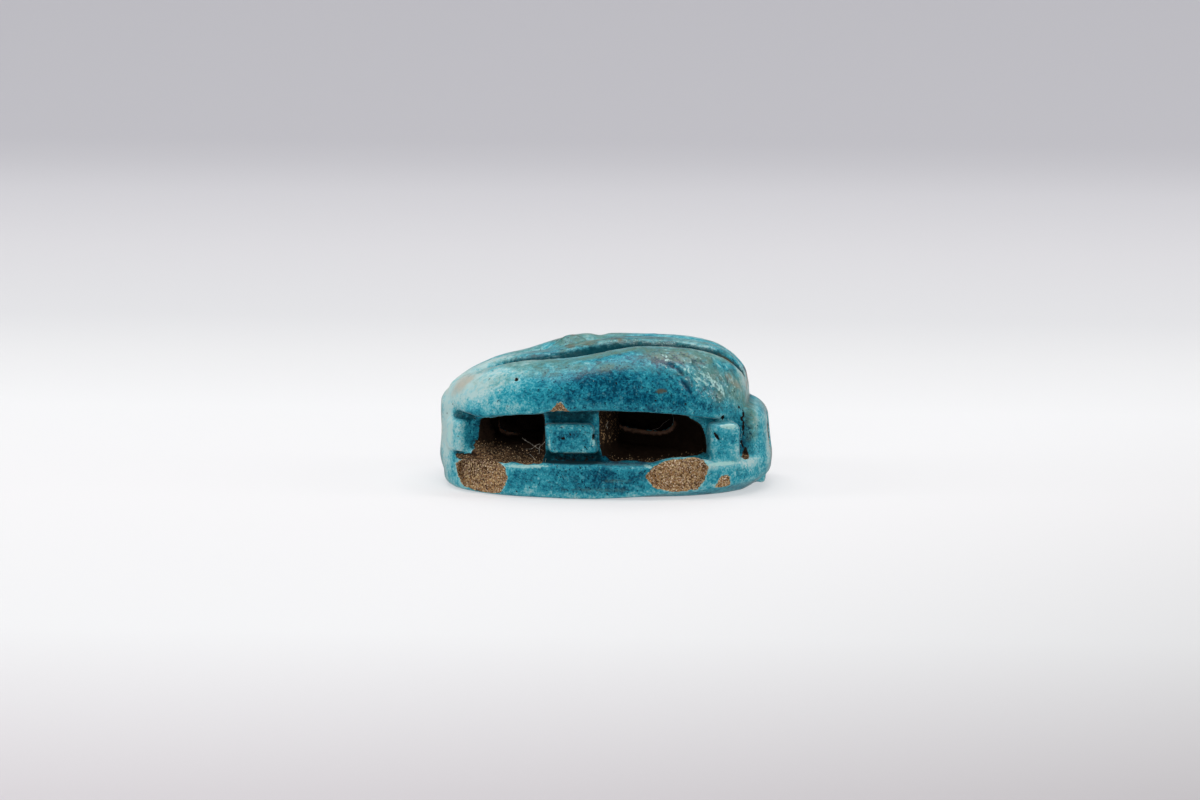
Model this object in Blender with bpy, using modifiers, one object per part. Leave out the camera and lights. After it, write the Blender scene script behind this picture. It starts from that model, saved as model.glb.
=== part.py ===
# Scarab amulet of moulded quartz paste with a turquoise glaze, one solid.
# The head points to +X and the tail to -X. The origin is at the middle of the outline,
# on the surface that the amulet stands on. Sizes are in millimetres, because the amulet is so small,
# and the finished solid is brought to metres.

import math

import bmesh
import bpy
from mathutils import Matrix, Vector

METRES_PER_MM = 0.001

# Base plate, an oval that is fuller than an ellipse
BASE_LENGTH = 16.12
BASE_WIDTH = 11.3
BASE_HEIGHT = 1.76
BASE_CENTRE_X = 0.09
OVAL_POWER = 2.5
BASE_SIDES = 64
FOOT_MARGIN = 1.15               # the flat foot stops this far inside the rim
HEAD_RISE = 0.60                 # how far the rim's lower edge lifts at the head
HEAD_RISE_START = 0.12           # the lift begins this far along its curve at the middle
TAIL_RISE = 0.06
RIM_ROUNDING = 0.26

# Beetle's back: two long lobes with a rounded ridge between two grooves
BACK_TAIL_X = -7.85
BACK_HEAD_X = 7.10
BACK_WIDTH = 10.95
BACK_POLE_Z = 4.35
TAIL_FALL = (2.5, 0.60)                  # powers of the curve that brings the back down at the tail
HEAD_FALL = (5.0, 0.50)                  # and at the head, where it stays full for longer
CREST_Y = 2.60
GROOVE_Y = 1.36
GROOVE_DEPTH = 0.62
GROOVE_CLIMB = 0.8               # power of the curve from the groove up to the lobe's crest
RIDGE_FLAT = 0.18                # share of the way from the ridge's top to the groove that stays level
FLANK_POWERS = (0.88, 0.92)      # powers of the curve from the crest out and down to the lip
LINES_CONVERGE = 0.85            # how fast crests and grooves draw together at the ends
NEAR_CREST = (6.50, 7.10, -0.1, 4.4)     # height at the tail, height at the head, step's place, its length
FAR_CREST = (6.35, 6.95, -3.2, 4.0)
RIDGE_TOP = (6.60, 7.20, -1.1, 4.4)
LIP_Z = 4.28                     # lower edge of the lobes, over the side openings
LIP_DROP = 0.55                  # how far that edge comes down at the end of its reach
LIP_MIDDLE_X = -0.35
LIP_REACH = 5.5
LIP_LIMIT = 1.3                  # past this share of its reach the edge stays level
UNDERSIDE_SAG = 0.1
KNOBS = ((-1.75, -0.12), (-1.30, 0.66))  # two swellings on the ridge where the wing cases start
KNOB_SIZE = (0.85, 0.50, 0.50)
KNOB_HEIGHT = 0.13

# Steps of the back's section, and stations along its length
TOP_STOPS = 17                   # steps of the section from the ridge's top down to the lip
INNER_STOPS = 7                  # of those, from the ridge's top to the lobe's crest
UNDER_STOPS = 5                  # steps from the lip to the middle of the underside
BACK_SIDES = 2 * (TOP_STOPS + UNDER_STOPS)
BACK_RINGS = 36
OVAL_SIDES = 48                  # sides of the upright oval blocks

# Drum of paste between the base and the back
DRUM = ("drum", -8.10, 7.40, 4.75, OVAL_POWER)   # tail x, head x, half width, oval power
DRUM_HEIGHTS = (0.90, 4.75, 0.0)
DRUM_NARROWING = 0.94
RUMP = ("rump", -8.15, -4.40, 3.25, OVAL_POWER)  # the paste swells out under the tail
RUMP_HEIGHTS = (0.97, 3.70, 0.0)
RUMP_ROUNDING = 0.25

# Three stub legs a side: name, x and y of the face on the near side, turn of the face in degrees, width,
# lower edge, upper edge, and how far the leg leans for each unit of height
LEGS = (
    ("tail", -6.78, -3.66, -36, 1.70, 1.66, 3.68, -0.05),
    ("middle", -1.36, -5.02, 0, 2.46, 2.05, 3.64, -0.18),
    ("front", 6.10, -4.08, 26, 1.60, 1.60, 3.58, 0.0),
)
LEG_DEPTH = 1.9
LEG_ROUNDING = 0.20

# Side openings: low and high x at the mouth, low and high x at the back
TAIL_OPENING = (-6.12, -2.58, -5.55, -2.75)
HEAD_OPENING = (0.03, 5.38, 0.20, 4.70)
OPENING_FLOOR = 1.70
OPENING_ROUNDING = 0.34
OPENING_CUTS = 7
NEAR_DEPTH_Y = 0.40              # the near openings break into the bore
FAR_DEPTH_Y = 1.25
BACK_WALL_BOW = 0.70

# Bore for the cord, drilled from both ends: x and z of each mouth and of the place where the two meet
BORE_RADIUS = 0.80
BORE_TAIL = (-8.40, 2.75)
BORE_MIDDLE = (0.20, 3.65)
BORE_HEAD = (8.50, 2.52)
BORE_OVERRUN = 0.3
BORE_SIDES = 20

# Head: a block with a blunt rounded front, whose top slopes to the front
HEAD = ("head", 3.50, 8.18, 2.95, 3.4)
HEAD_HEIGHTS = (0.95, 4.24, 0.62)        # lower edge, upper edge, fall of the top to the front
HEAD_ROUNDING = 0.45
HEAD_NARROWING = 0.88            # the block is this much shorter at its top

# Broken places on the rim's near side: x, z, half length, half height and depth
RIM_CHIPS = (
    (-5.88, 0.86, 1.34, 0.88, 0.24),
    (3.82, 0.98, 1.53, 0.82, 0.24),
    (5.90, 0.72, 0.32, 0.34, 0.10),
)
CHIP_BULGE = 0.75                # half thickness of the egg shape that cuts a chip
LIP_CHIP = ((-1.87, -5.44, 4.42), (0.56, 0.34, 0.32))    # place and half sizes

# Colour of the glaze, and how it shines
GLAZE_COLOUR = (0.012, 0.155, 0.225, 1.0)
GLAZE_ROUGHNESS = 0.22


def clear_scene():
    for old in list(bpy.data.objects):
        bpy.data.objects.remove(old, do_unlink=True)


def make_collection(name):
    collection = bpy.data.collections.new(name)
    bpy.context.scene.collection.children.link(collection)
    return collection


def make_material(name, colour, roughness, metallic=0.0):
    material = bpy.data.materials.new(name)
    material.use_nodes = True
    shader = material.node_tree.nodes["Principled BSDF"]
    shader.inputs["Base Color"].default_value = colour
    shader.inputs["Roughness"].default_value = roughness
    shader.inputs["Metallic"].default_value = metallic
    return material


def object_from(bm, name, collection):
    """Turn a finished bmesh into an object whose faces point out."""
    bmesh.ops.recalc_face_normals(bm, faces=bm.faces)
    mesh = bpy.data.meshes.new(name)
    bm.to_mesh(mesh)
    bm.free()
    item = bpy.data.objects.new(name, mesh)
    collection.objects.link(item)
    return item


def as_cutter(item):
    item.hide_render = True
    item.display_type = "WIRE"
    return item


def ease(value):
    """Rise smoothly from 0 to 1 while the value goes from 0 to 1."""
    value = min(1.0, max(0.0, value))
    return value * value * (3.0 - 2.0 * value)


def step_height(heights, x):
    """Height that eases from the tail's value to the head's over the step."""
    tail_height, head_height, middle, length = heights
    return tail_height + (head_height - tail_height) * ease((x - middle) / length + 0.5)


def oval_half_width(share, half_width):
    """Half width of the oval at this share of its half length."""
    return half_width * max(0.0, 1.0 - abs(share) ** OVAL_POWER) ** (1.0 / OVAL_POWER)


def oval_point(angle, half_length, half_width, power=OVAL_POWER):
    """Point on the oval in this direction."""
    bend = 2.0 / power
    x = half_length * math.copysign(abs(math.cos(angle)) ** bend, math.cos(angle))
    y = half_width * math.copysign(abs(math.sin(angle)) ** bend, math.sin(angle))
    return x, y


def lip_height(x):
    """Lower edge of the lobes, highest near the middle leg."""
    return LIP_Z - LIP_DROP * min(LIP_LIMIT, abs(x - LIP_MIDDLE_X) / LIP_REACH) ** 3


def rim_rise(x):
    """How far the rim's lower edge stands off the surface below."""
    share = abs(x) / (0.5 * BASE_LENGTH)
    if x < 0.0:
        return TAIL_RISE * ease(share)
    return HEAD_RISE * ease(HEAD_RISE_START + (1.0 - HEAD_RISE_START) * share)


def make_base(collection):
    """Oval plate with a flat foot, a rim that lifts towards the head and rounded edges."""
    bm = bmesh.new()
    bmesh.ops.create_cone(bm, cap_ends=True, segments=BASE_SIDES, radius1=1.0, radius2=1.0, depth=2.0)
    for vert in bm.verts:
        angle = math.atan2(vert.co.y, vert.co.x)
        x, y = oval_point(angle, 0.5 * BASE_LENGTH, 0.5 * BASE_WIDTH)
        z = BASE_HEIGHT if vert.co.z > 0.0 else rim_rise(x)
        vert.co = Vector((x + BASE_CENTRE_X, y, z))
    foot = min(bm.faces, key=lambda face: face.calc_center_median().z)
    bmesh.ops.inset_region(bm, faces=[foot], thickness=FOOT_MARGIN, use_even_offset=True)
    for vert in foot.verts:
        vert.co.z = 0.0
    base = object_from(bm, "scarab_amulet", collection)
    rounding = base.modifiers.new("Rim rounding", "BEVEL")
    rounding.width = RIM_ROUNDING
    rounding.segments = 2
    rounding.limit_method = "ANGLE"
    rounding.angle_limit = math.radians(50)
    return base


def back_fall(share):
    """Share of the full height that the back keeps at this share of its half length."""
    power, bend = TAIL_FALL if share < 0.0 else HEAD_FALL
    return max(0.0, 1.0 - abs(share) ** power) ** bend


def back_section(x, share, side, stop):
    """Point of the back's section at this station: stop 0 is on the ridge, the last one is underneath."""
    half = max(0.01, oval_half_width(share, 0.5 * BACK_WIDTH))
    narrowing = half / (0.5 * BACK_WIDTH)
    crest_y = CREST_Y * narrowing ** LINES_CONVERGE
    groove_y = GROOVE_Y * narrowing ** LINES_CONVERGE
    crest_z = step_height(NEAR_CREST if side < 0 else FAR_CREST, x)
    ridge_z = step_height(RIDGE_TOP, x)
    groove_z = min(crest_z, ridge_z) - GROOVE_DEPTH
    lip_z = lip_height(x)
    if stop <= INNER_STOPS:
        y = crest_y * stop / INNER_STOPS
        if y < groove_y:
            fall = ease(y / groove_y - RIDGE_FLAT) / ease(1.0 - RIDGE_FLAT)
            z = ridge_z + (groove_z - ridge_z) * fall
        else:
            climb = math.sin(0.5 * math.pi * (y - groove_y) / (crest_y - groove_y))
            z = groove_z + (crest_z - groove_z) * max(0.0, climb) ** GROOVE_CLIMB
    elif stop <= TOP_STOPS:
        turn = 0.5 * math.pi * (stop - INNER_STOPS) / (TOP_STOPS - INNER_STOPS)
        y = crest_y + (half - crest_y) * math.sin(turn) ** FLANK_POWERS[0]
        z = lip_z + (crest_z - lip_z) * math.cos(turn) ** FLANK_POWERS[1]
    else:
        inwards = (stop - TOP_STOPS) / UNDER_STOPS
        y = half * (1.0 - inwards)
        z = lip_z - UNDERSIDE_SAG * ease(inwards)
    return Vector((x, side * y, BACK_POLE_Z + (z - BACK_POLE_Z) * back_fall(share)))


def make_back(collection):
    """Sphere with its poles at head and tail, every vertex moved to the beetle's section."""
    bm = bmesh.new()
    bmesh.ops.create_uvsphere(bm, u_segments=BACK_SIDES, v_segments=BACK_RINGS, radius=1.0)
    middle = 0.5 * (BACK_HEAD_X + BACK_TAIL_X)
    reach = 0.5 * (BACK_HEAD_X - BACK_TAIL_X)
    for vert in bm.verts:
        share = max(-1.0, min(1.0, vert.co.z))
        angle = math.atan2(vert.co.y, vert.co.x)
        stop = round(abs(angle) / math.pi * (TOP_STOPS + UNDER_STOPS))
        side = -1 if angle < 0.0 else 1
        vert.co = back_section(middle + reach * share, share, side, stop)
    return object_from(bm, "back", collection)


def make_oval_block(block, heights, narrowing, collection, rounding=0.0):
    """Upright oval block; its top is smaller by the narrowing and may slope down to the front."""
    name, tail_x, head_x, half_width, power = block
    low, high, slope = heights
    middle = 0.5 * (head_x + tail_x)
    reach = 0.5 * (head_x - tail_x)
    bm = bmesh.new()
    bmesh.ops.create_cone(bm, cap_ends=True, segments=OVAL_SIDES, radius1=1.0, radius2=1.0, depth=2.0)
    for vert in bm.verts:
        x, y = oval_point(math.atan2(vert.co.y, vert.co.x), reach, half_width, power)
        upper = vert.co.z > 0.0
        size = narrowing if upper else 1.0
        z = high - slope * max(0.0, x / reach) ** 2 if upper else low
        vert.co = Vector((middle + x * size, y * size, z))
    if rounding > 0.0:
        rim = [edge for edge in bm.edges if min(vert.co.z for vert in edge.verts) > 0.5 * (low + high)]
        bmesh.ops.bevel(bm, geom=rim, offset=rounding, segments=3, profile=0.5, affect="EDGES")
    return object_from(bm, name, collection)


def make_leg(leg, side, collection):
    """Rounded block that stands proud of the drum."""
    name, face_x, face_y, turn, width, low, high, lean = leg
    bm = bmesh.new()
    bmesh.ops.create_cube(bm, size=1.0)
    bmesh.ops.scale(bm, verts=bm.verts, vec=Vector((width, LEG_DEPTH, high - low)))
    bmesh.ops.bevel(bm, geom=bm.edges[:], offset=LEG_ROUNDING, segments=2, profile=0.5, affect="EDGES")
    for vert in bm.verts:
        vert.co.x += lean * vert.co.z
    place = Matrix.Translation(Vector((face_x, face_y, 0.5 * (low + high))))
    place = place @ Matrix.Rotation(math.radians(turn), 4, "Z")
    place = place @ Matrix.Translation(Vector((0.0, 0.5 * LEG_DEPTH, 0.0)))
    bmesh.ops.transform(bm, matrix=place, verts=bm.verts)
    if side > 0:
        bmesh.ops.scale(bm, verts=bm.verts, vec=Vector((1.0, -1.0, 1.0)))
    return object_from(bm, name + " leg", collection)


def make_ball(name, place, size, collection, turn=0.0, sides=14):
    """Egg-shaped body, for knobs and broken places."""
    bm = bmesh.new()
    bmesh.ops.create_uvsphere(bm, u_segments=sides, v_segments=sides // 2 + 1, radius=1.0)
    matrix = Matrix.Translation(Vector(place)) @ Matrix.Rotation(turn, 4, "Z")
    matrix = matrix @ Matrix.Diagonal(Vector((size[0], size[1], size[2], 1.0)))
    bmesh.ops.transform(bm, matrix=matrix, verts=bm.verts)
    return object_from(bm, name, collection)


def make_opening(opening, side, collection):
    """Cutter for one side opening: arched like the lip, narrower at the back, with a bowed back wall."""
    mouth_low, mouth_high, back_low, back_high = opening
    depth = NEAR_DEPTH_Y if side < 0 else FAR_DEPTH_Y
    bm = bmesh.new()
    bmesh.ops.create_cube(bm, size=1.0)
    lengthwise = [edge for edge in bm.edges if abs(edge.verts[0].co.x - edge.verts[1].co.x) > 0.5]
    bmesh.ops.subdivide_edges(bm, edges=lengthwise, cuts=OPENING_CUTS, use_grid_fill=True)
    for vert in bm.verts:
        along = vert.co.x + 0.5
        outer = vert.co.y < 0.0
        upper = vert.co.z > 0.0
        bow = BACK_WALL_BOW * (2.0 * along - 1.0) ** 2
        y = 0.5 * BASE_WIDTH + 1.0 if outer else depth + bow
        reach = (y - depth) / (0.5 * BASE_WIDTH - depth)
        low = back_low + (mouth_low - back_low) * reach
        high = back_high + (mouth_high - back_high) * reach
        x = low + (high - low) * along
        z = lip_height(x) if upper else OPENING_FLOOR
        vert.co = Vector((x, side * y, z))
    cutter = object_from(bm, "opening", collection)
    rounding = cutter.modifiers.new("Corners", "BEVEL")
    rounding.width = OPENING_ROUNDING
    rounding.segments = 2
    rounding.limit_method = "ANGLE"
    rounding.angle_limit = math.radians(60)
    return as_cutter(cutter)


def make_bore(mouth, collection):
    """Cutter for one half of the cord's hole, from its mouth to a little past the meeting place."""
    start = Vector((mouth[0], 0.0, mouth[1]))
    end = Vector((BORE_MIDDLE[0], 0.0, BORE_MIDDLE[1]))
    direction = (end - start).normalized()
    end += direction * BORE_OVERRUN
    bm = bmesh.new()
    bmesh.ops.create_cone(bm, cap_ends=True, segments=BORE_SIDES, radius1=BORE_RADIUS, radius2=BORE_RADIUS,
                          depth=(end - start).length)
    place = Matrix.Translation(0.5 * (start + end)) @ direction.to_track_quat("Z", "Y").to_matrix().to_4x4()
    bmesh.ops.transform(bm, matrix=place, verts=bm.verts)
    return as_cutter(object_from(bm, "bore", collection))


def rim_y(x):
    """Near side of the rim at this x."""
    return -oval_half_width((x - BASE_CENTRE_X) / (0.5 * BASE_LENGTH), 0.5 * BASE_WIDTH)


def make_rim_chip(chip, collection):
    """Egg-shaped cutter that bites into the rim, square to its surface."""
    x, z, half_length, half_height, depth = chip
    step = 0.1
    turn = math.atan2(rim_y(x + step) - rim_y(x - step), 2.0 * step)
    outwards = Vector((math.sin(turn), -math.cos(turn), 0.0))
    place = Vector((x, rim_y(x), z)) + outwards * (CHIP_BULGE - depth)
    spread = math.sqrt(1.0 - (1.0 - depth / CHIP_BULGE) ** 2)
    size = (half_length / spread, CHIP_BULGE, half_height / spread)
    return as_cutter(make_ball("chip", place, size, collection, turn, sides=20))


def combine(target, others, operation):
    """Join the others to the target, or cut them from it, one exact Boolean each."""
    for other in others:
        boolean = target.modifiers.new(other.name, "BOOLEAN")
        boolean.operation = operation
        boolean.solver = "EXACT"
        boolean.object = other


def finish_mesh(target, parts, material):
    """Keep the evaluated solid as a plain mesh, centred and in metres, without the shapes it was made from."""
    bpy.context.view_layer.update()
    evaluated = target.evaluated_get(bpy.context.evaluated_depsgraph_get())
    mesh = bpy.data.meshes.new_from_object(evaluated)
    corners = [Vector(corner) for corner in evaluated.bound_box]
    low = Vector(min(corner[axis] for corner in corners) for axis in range(3))
    high = Vector(max(corner[axis] for corner in corners) for axis in range(3))
    middle = 0.5 * (low + high)
    mesh.transform(Matrix.Translation(Vector((-middle.x, -middle.y, -low.z))))
    mesh.transform(Matrix.Scale(METRES_PER_MM, 4))
    target.modifiers.clear()
    target.data = mesh
    for item in parts:
        bpy.data.objects.remove(item, do_unlink=True)
    mesh.name = target.name
    mesh.materials.clear()
    mesh.materials.append(material)
    mesh.shade_smooth()
    mesh.set_sharp_from_angle(angle=math.radians(38))


def build():
    clear_scene()
    parts = make_collection("scarab amulet")
    cutters = make_collection("cutters")
    glaze = make_material("turquoise glaze on quartz paste", GLAZE_COLOUR, GLAZE_ROUGHNESS)

    amulet = make_base(parts)
    added = [
        make_oval_block(DRUM, DRUM_HEIGHTS, DRUM_NARROWING, parts),
        make_oval_block(RUMP, RUMP_HEIGHTS, 1.0, parts, RUMP_ROUNDING),
        make_back(parts),
        make_oval_block(HEAD, HEAD_HEIGHTS, HEAD_NARROWING, parts, HEAD_ROUNDING),
    ]
    for side in (-1, 1):
        for leg in LEGS:
            added.append(make_leg(leg, side, parts))
    for knob_x, knob_y in KNOBS:
        place = (knob_x, knob_y, step_height(RIDGE_TOP, knob_x) + KNOB_HEIGHT - KNOB_SIZE[2])
        added.append(make_ball("knob", place, KNOB_SIZE, parts))
    combine(amulet, added, "UNION")

    removed = [make_bore(mouth, cutters) for mouth in (BORE_TAIL, BORE_HEAD)]
    for side in (-1, 1):
        for opening in (TAIL_OPENING, HEAD_OPENING):
            removed.append(make_opening(opening, side, cutters))
    for chip in RIM_CHIPS:
        removed.append(make_rim_chip(chip, cutters))
    removed.append(as_cutter(make_ball("chip", *LIP_CHIP, cutters, sides=12)))
    combine(amulet, removed, "DIFFERENCE")
    finish_mesh(amulet, added, glaze)


build()
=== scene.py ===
# Scarab amulet of moulded quartz paste with a worn turquoise glaze, standing on a pale sweep.
# The head points to +X, the tail to -X, and the photographed side faces -Y.
# The body is worked out in millimetres as a distance field, so glaze can soften its creases.

import math
from types import SimpleNamespace

import bpy
import numpy as np
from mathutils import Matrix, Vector


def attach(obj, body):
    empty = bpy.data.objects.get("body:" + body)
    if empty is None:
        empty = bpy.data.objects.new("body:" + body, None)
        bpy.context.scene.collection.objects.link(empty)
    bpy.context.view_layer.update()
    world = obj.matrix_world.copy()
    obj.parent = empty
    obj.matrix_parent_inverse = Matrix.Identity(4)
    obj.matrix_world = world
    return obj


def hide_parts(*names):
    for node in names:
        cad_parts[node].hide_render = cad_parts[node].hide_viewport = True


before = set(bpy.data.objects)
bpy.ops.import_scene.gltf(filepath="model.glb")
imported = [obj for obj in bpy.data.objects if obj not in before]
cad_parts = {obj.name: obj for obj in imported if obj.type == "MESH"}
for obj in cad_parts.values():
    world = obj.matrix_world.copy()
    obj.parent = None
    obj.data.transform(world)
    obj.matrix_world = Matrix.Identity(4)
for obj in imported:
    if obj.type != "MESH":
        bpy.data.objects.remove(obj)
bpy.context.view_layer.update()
scene = bpy.context.scene
scene.view_settings.view_transform = "Standard"
mm = 0.001


def report(text):
    print("scarab:", text)


# Small tools

def hexColour(text):
    # sRGB hex to the linear values that the shaders work in
    parts = [int(text[i:i + 2], 16) / 255 for i in (0, 2, 4)]
    return tuple(c / 12.92 if c <= 0.04045 else ((c + 0.055) / 1.055) ** 2.4 for c in parts) + (1.0,)


def addNode(tree, kind, inputs=None, out=0, stops=(), **settings):
    # a shader node, or the kind that is named in full, with its settings; each input takes a value or another
    # node's output; a ramp takes its stops, the first and the last ahead of the rest; gives back one output
    node = tree.nodes.new(kind if "Node" in kind else "ShaderNode" + kind)
    for name, value in settings.items():
        setattr(node, name, value)
    for k, (place, shade) in enumerate(stops):
        stop = node.color_ramp.elements[k] if k < 2 else node.color_ramp.elements.new(0.5)
        stop.position, stop.color = place, hexColour(shade)
    for key, value in (inputs or {}).items():
        socket = node.inputs[key]
        if isinstance(value, bpy.types.NodeSocket):
            tree.links.new(value, socket)
        else:
            socket.default_value = value
    return node.outputs[out] if len(node.outputs) else node


def newMaterial(name):
    material = bpy.data.materials.new(name)
    material.use_nodes = True
    material.node_tree.nodes.clear()
    return material, material.node_tree


def ease(value):
    value = np.clip(value, 0.0, 1.0)
    return value * value * (3.0 - 2.0 * value)


def between(low, high, value):
    # 0 below low, 1 above high, smooth between; low may be above high
    return ease((value - low) / (high - low))


def softMin(a, b, radius):
    share = np.clip(0.5 + 0.5 * (b - a) / radius, 0.0, 1.0)
    return b * (1.0 - share) + a * share - radius * share * (1.0 - share)


def softCut(a, b, radius):
    # a without b, with a rounded edge
    return -softMin(-a, b, radius)


def roundJoin(radius, *fields):
    # what all the fields have in common, its edges rounded
    shifted = [field + radius for field in fields]
    deepest = shifted[0]
    square = np.maximum(shifted[0], 0.0) ** 2
    for field in shifted[1:]:
        deepest = np.maximum(deepest, field)
        square = square + np.maximum(field, 0.0) ** 2
    return np.minimum(deepest, 0.0) + np.sqrt(square) - radius


def ovalDistance(x, y, halfLength, halfWidth, power):
    u = np.abs(x) / halfLength + 1e-4
    v = np.abs(y) / halfWidth + 1e-4
    radius = (u ** power + v ** power) ** (1.0 / power)
    slope = np.hypot((u / radius) ** (power - 1) / halfLength, (v / radius) ** (power - 1) / halfWidth)
    return (radius - 1.0) / slope


# Random numbers at the corners of a lattice, and smooth values between them

def cornerShares(inside):
    # a cell's eight corners, and how much each of them counts at a place inside the cell
    for a in (0, 1):
        for b in (0, 1):
            for c in (0, 1):
                parts = [inside[:, k] if on else 1.0 - inside[:, k] for k, on in enumerate((a, b, c))]
                yield (a, b, c), parts[0] * parts[1] * parts[2]


def cornerValue(corners, seed):
    ix, iy, iz = corners.astype(np.uint32).T
    n = (ix * np.uint32(374761393) + iy * np.uint32(668265263) + iz * np.uint32(2246822519)
         + np.uint32(seed * 40503 + 977))
    n = (n ^ (n >> np.uint32(13))) * np.uint32(1274126177)
    n = (n ^ (n >> np.uint32(16))) * np.uint32(2654435761)
    n = n ^ (n >> np.uint32(15))
    return n.astype(np.float64) / 4294967296.0


def lumps(points, size, seed):
    # smooth noise from -1 to 1 with lumps of this size in millimetres
    places = points / size + 1000.0
    cells = np.floor(places)
    f = places - cells
    f = f * f * f * (f * (f * 6.0 - 15.0) + 10.0)
    cells = cells.astype(np.int64)
    total = np.zeros(len(points))
    for corner, share in cornerShares(f):
        total += share * cornerValue(cells + corner, seed)
    return 2.0 * total - 1.0


def roughness(points, size, seed):
    # lumps on lumps, each half the size and half the height of the last
    return sum(0.5 ** k * lumps(points, size / 2 ** k, seed + 17 * k) for k in range(3)) / 1.5


def softGrid(shape, cell, rng):
    # the same kind of noise over a whole grid, worked out one axis at a time
    out = rng.uniform(-1.0, 1.0, [int(n * grid["step"] / cell) + 3 for n in shape])
    for axis, count in enumerate(shape):
        place = np.arange(count) * grid["step"] / cell
        low = np.floor(place).astype(int)
        weight = ease(place - low).reshape([-1 if k == axis else 1 for k in range(3)])
        first = np.take(out, low, axis)
        out = first + (np.take(out, low + 1, axis) - first) * weight
    return out.astype(np.float32)


# Camera: long lens, a little above the side, turned slightly to the head

cameraView = {
    "lens": 160.0,
    "sensor": 36.0,
    "distance": 263.0,
    "turn": 4.0,             # degrees towards the head
    "height": 9.0,           # degrees above the side
    "scale": 20.3,           # pixels to a millimetre in a picture 1200 wide
    "middle": (606.5, 480.7),    # where the amulet's foot lies in that picture
    "picture": (1200, 800),
}


def makeCamera():
    turn = math.radians(cameraView["turn"])
    height = math.radians(cameraView["height"])
    wide, high = cameraView["picture"]
    target = Vector(((0.5 * wide - cameraView["middle"][0]) / cameraView["scale"], 0.0,
                     (cameraView["middle"][1] - 0.5 * high) / cameraView["scale"] / math.cos(height)))
    back = Vector((math.sin(turn) * math.cos(height), -math.cos(turn) * math.cos(height), math.sin(height)))
    data = bpy.data.cameras.new("side view")
    data.lens = cameraView["lens"]
    data.sensor_width = cameraView["sensor"]
    data.clip_start = 0.005
    data.clip_end = 20.0
    camera = bpy.data.objects.new("side view", data)
    scene.collection.objects.link(camera)
    camera.location = (target + back * cameraView["distance"]) * mm
    camera.rotation_euler = (-back).to_track_quat("-Z", "Y").to_euler()
    scene.camera = camera


makeCamera()
report("camera placed")


# The amulet's form, in millimetres

form = {
    "shift": -0.015,             # brings the outline's middle to x = 0
    "ovalPower": 2.5,
    # base plate
    "baseMiddle": 0.09, "baseHalf": (8.06, 5.65), "baseHeight": 1.76, "footMargin": 1.15,
    "headRise": 0.60, "headRiseStart": 0.12, "tailRise": 0.06,
    "rimTop": 0.24, "rimUnder": 0.34,
    # back
    "backEnds": (-7.85, 7.10), "backHalfWidth": 5.475, "poleZ": 4.35,
    "tailFall": (2.5, 0.60), "headFall": (5.0, 0.50),
    # grooves beside the ridge, near and far: place, depth, flat share of the ridge, slope up to the crest
    "crestY": 2.60, "grooveY": (1.78, 1.36), "groove": (0.95, 0.62), "ridgeFlat": (0.42, 0.18),
    "climb": (0.42, 0.8), "converge": 0.85,
    # heights at the tail and at the head, middle and length of the step between them
    "nearCrest": (6.50, 7.10, -0.1, 4.4), "farCrest": (6.35, 6.95, -2.8, 4.2),
    "ridgeTop": (6.60, 7.20, -1.1, 4.4),
    "farNotch": (-0.58, 0.50, 0.12),        # dip in the far crest beside the knob: x, reach, depth
    "lipZ": 4.28, "lipDrop": 0.55, "lipMiddle": -0.35, "lipReach": 5.5, "lipRound": 0.26, "lipSag": 0.16,
    # knob on the ridge: x, y, half sizes, how far it stands up
    "knob": (-1.70, 0.55), "knobSize": (1.05, 0.74, 1.05), "knobHeight": 0.42,
    # beads and pools where glaze ran: middle and half sizes
    "pools": (((-5.55, -4.00, 4.00), (0.80, 0.27, 0.22)), ((4.15, -4.82, 1.64), (1.55, 0.52, 0.40))),
    # upright blocks: tail x, head x, half width, oval power, low z, high z, rounding
    "drum": (-8.10, 7.40, 4.60, 2.5, 0.90, 4.75, 0.05),
    "rump": (-8.15, -4.40, 2.90, 2.5, 0.97, 4.55, 0.55),
    "head": (3.50, 8.18, 2.95, 3.4, 0.95, 4.24, 0.45), "headSlope": 0.62, "headNarrow": 0.12,
    # legs: x and y of the face, turn, width, low z, high z, lean, softness of the join
    "legs": ((-7.38, -3.09, -56, 1.45, 1.90, 3.50, -0.05, 0.05),
             (-1.36, -5.12, 0, 2.40, 2.14, 3.62, -0.20, 0.05),
             (6.14, -4.12, 24, 1.52, 1.60, 3.55, 0.0, 0.12)),
    "legDepth": 1.9, "legRound": 0.17,
    # openings under the wing cases: x at the mouth and at the back, y where the tail wall starts and ends to
    # flare, how far that wall leans, how high the soil has silted the back up, length and height of the upper
    # head corner, where the core wall is thinnest and how soon it thickens
    "openings": ({"mouth": (-6.95, -2.58), "back": (-5.38, -2.70), "flare": (2.3, 4.0), "lean": 0.55,
                  "silt": 2.28, "corner": (0.45, 0.35), "thinnest": (-3.6, 1.85)},
                 {"mouth": (-0.12, 5.38), "back": (0.70, 4.85), "flare": (2.6, 5.2), "lean": 0.30,
                  "silt": 1.95, "corner": (1.95, 1.05), "thinnest": (1.65, 1.90)}),
    "openingFloor": 1.68, "openingRound": 0.30, "nearDepth": 0.40, "farDepth": 1.25, "wallBow": 0.70,
    # narrow slots under the middle leg and the tail leg: limits in x, y and z
    "slots": ((-2.62, 0.05, -9.0, -4.30, 1.72, 2.12), (-7.75, -6.70, -9.0, -3.00, 1.72, 1.96)),
    # glaze drip under the head end: its middle and radius
    "drip": (7.76, -1.60, 0.45, 0.23),
    # cord hole, drilled from both ends
    "boreRadius": 0.80, "bore": ((-8.60, 2.72), (0.20, 3.65), (8.70, 2.49)),
}

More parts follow.
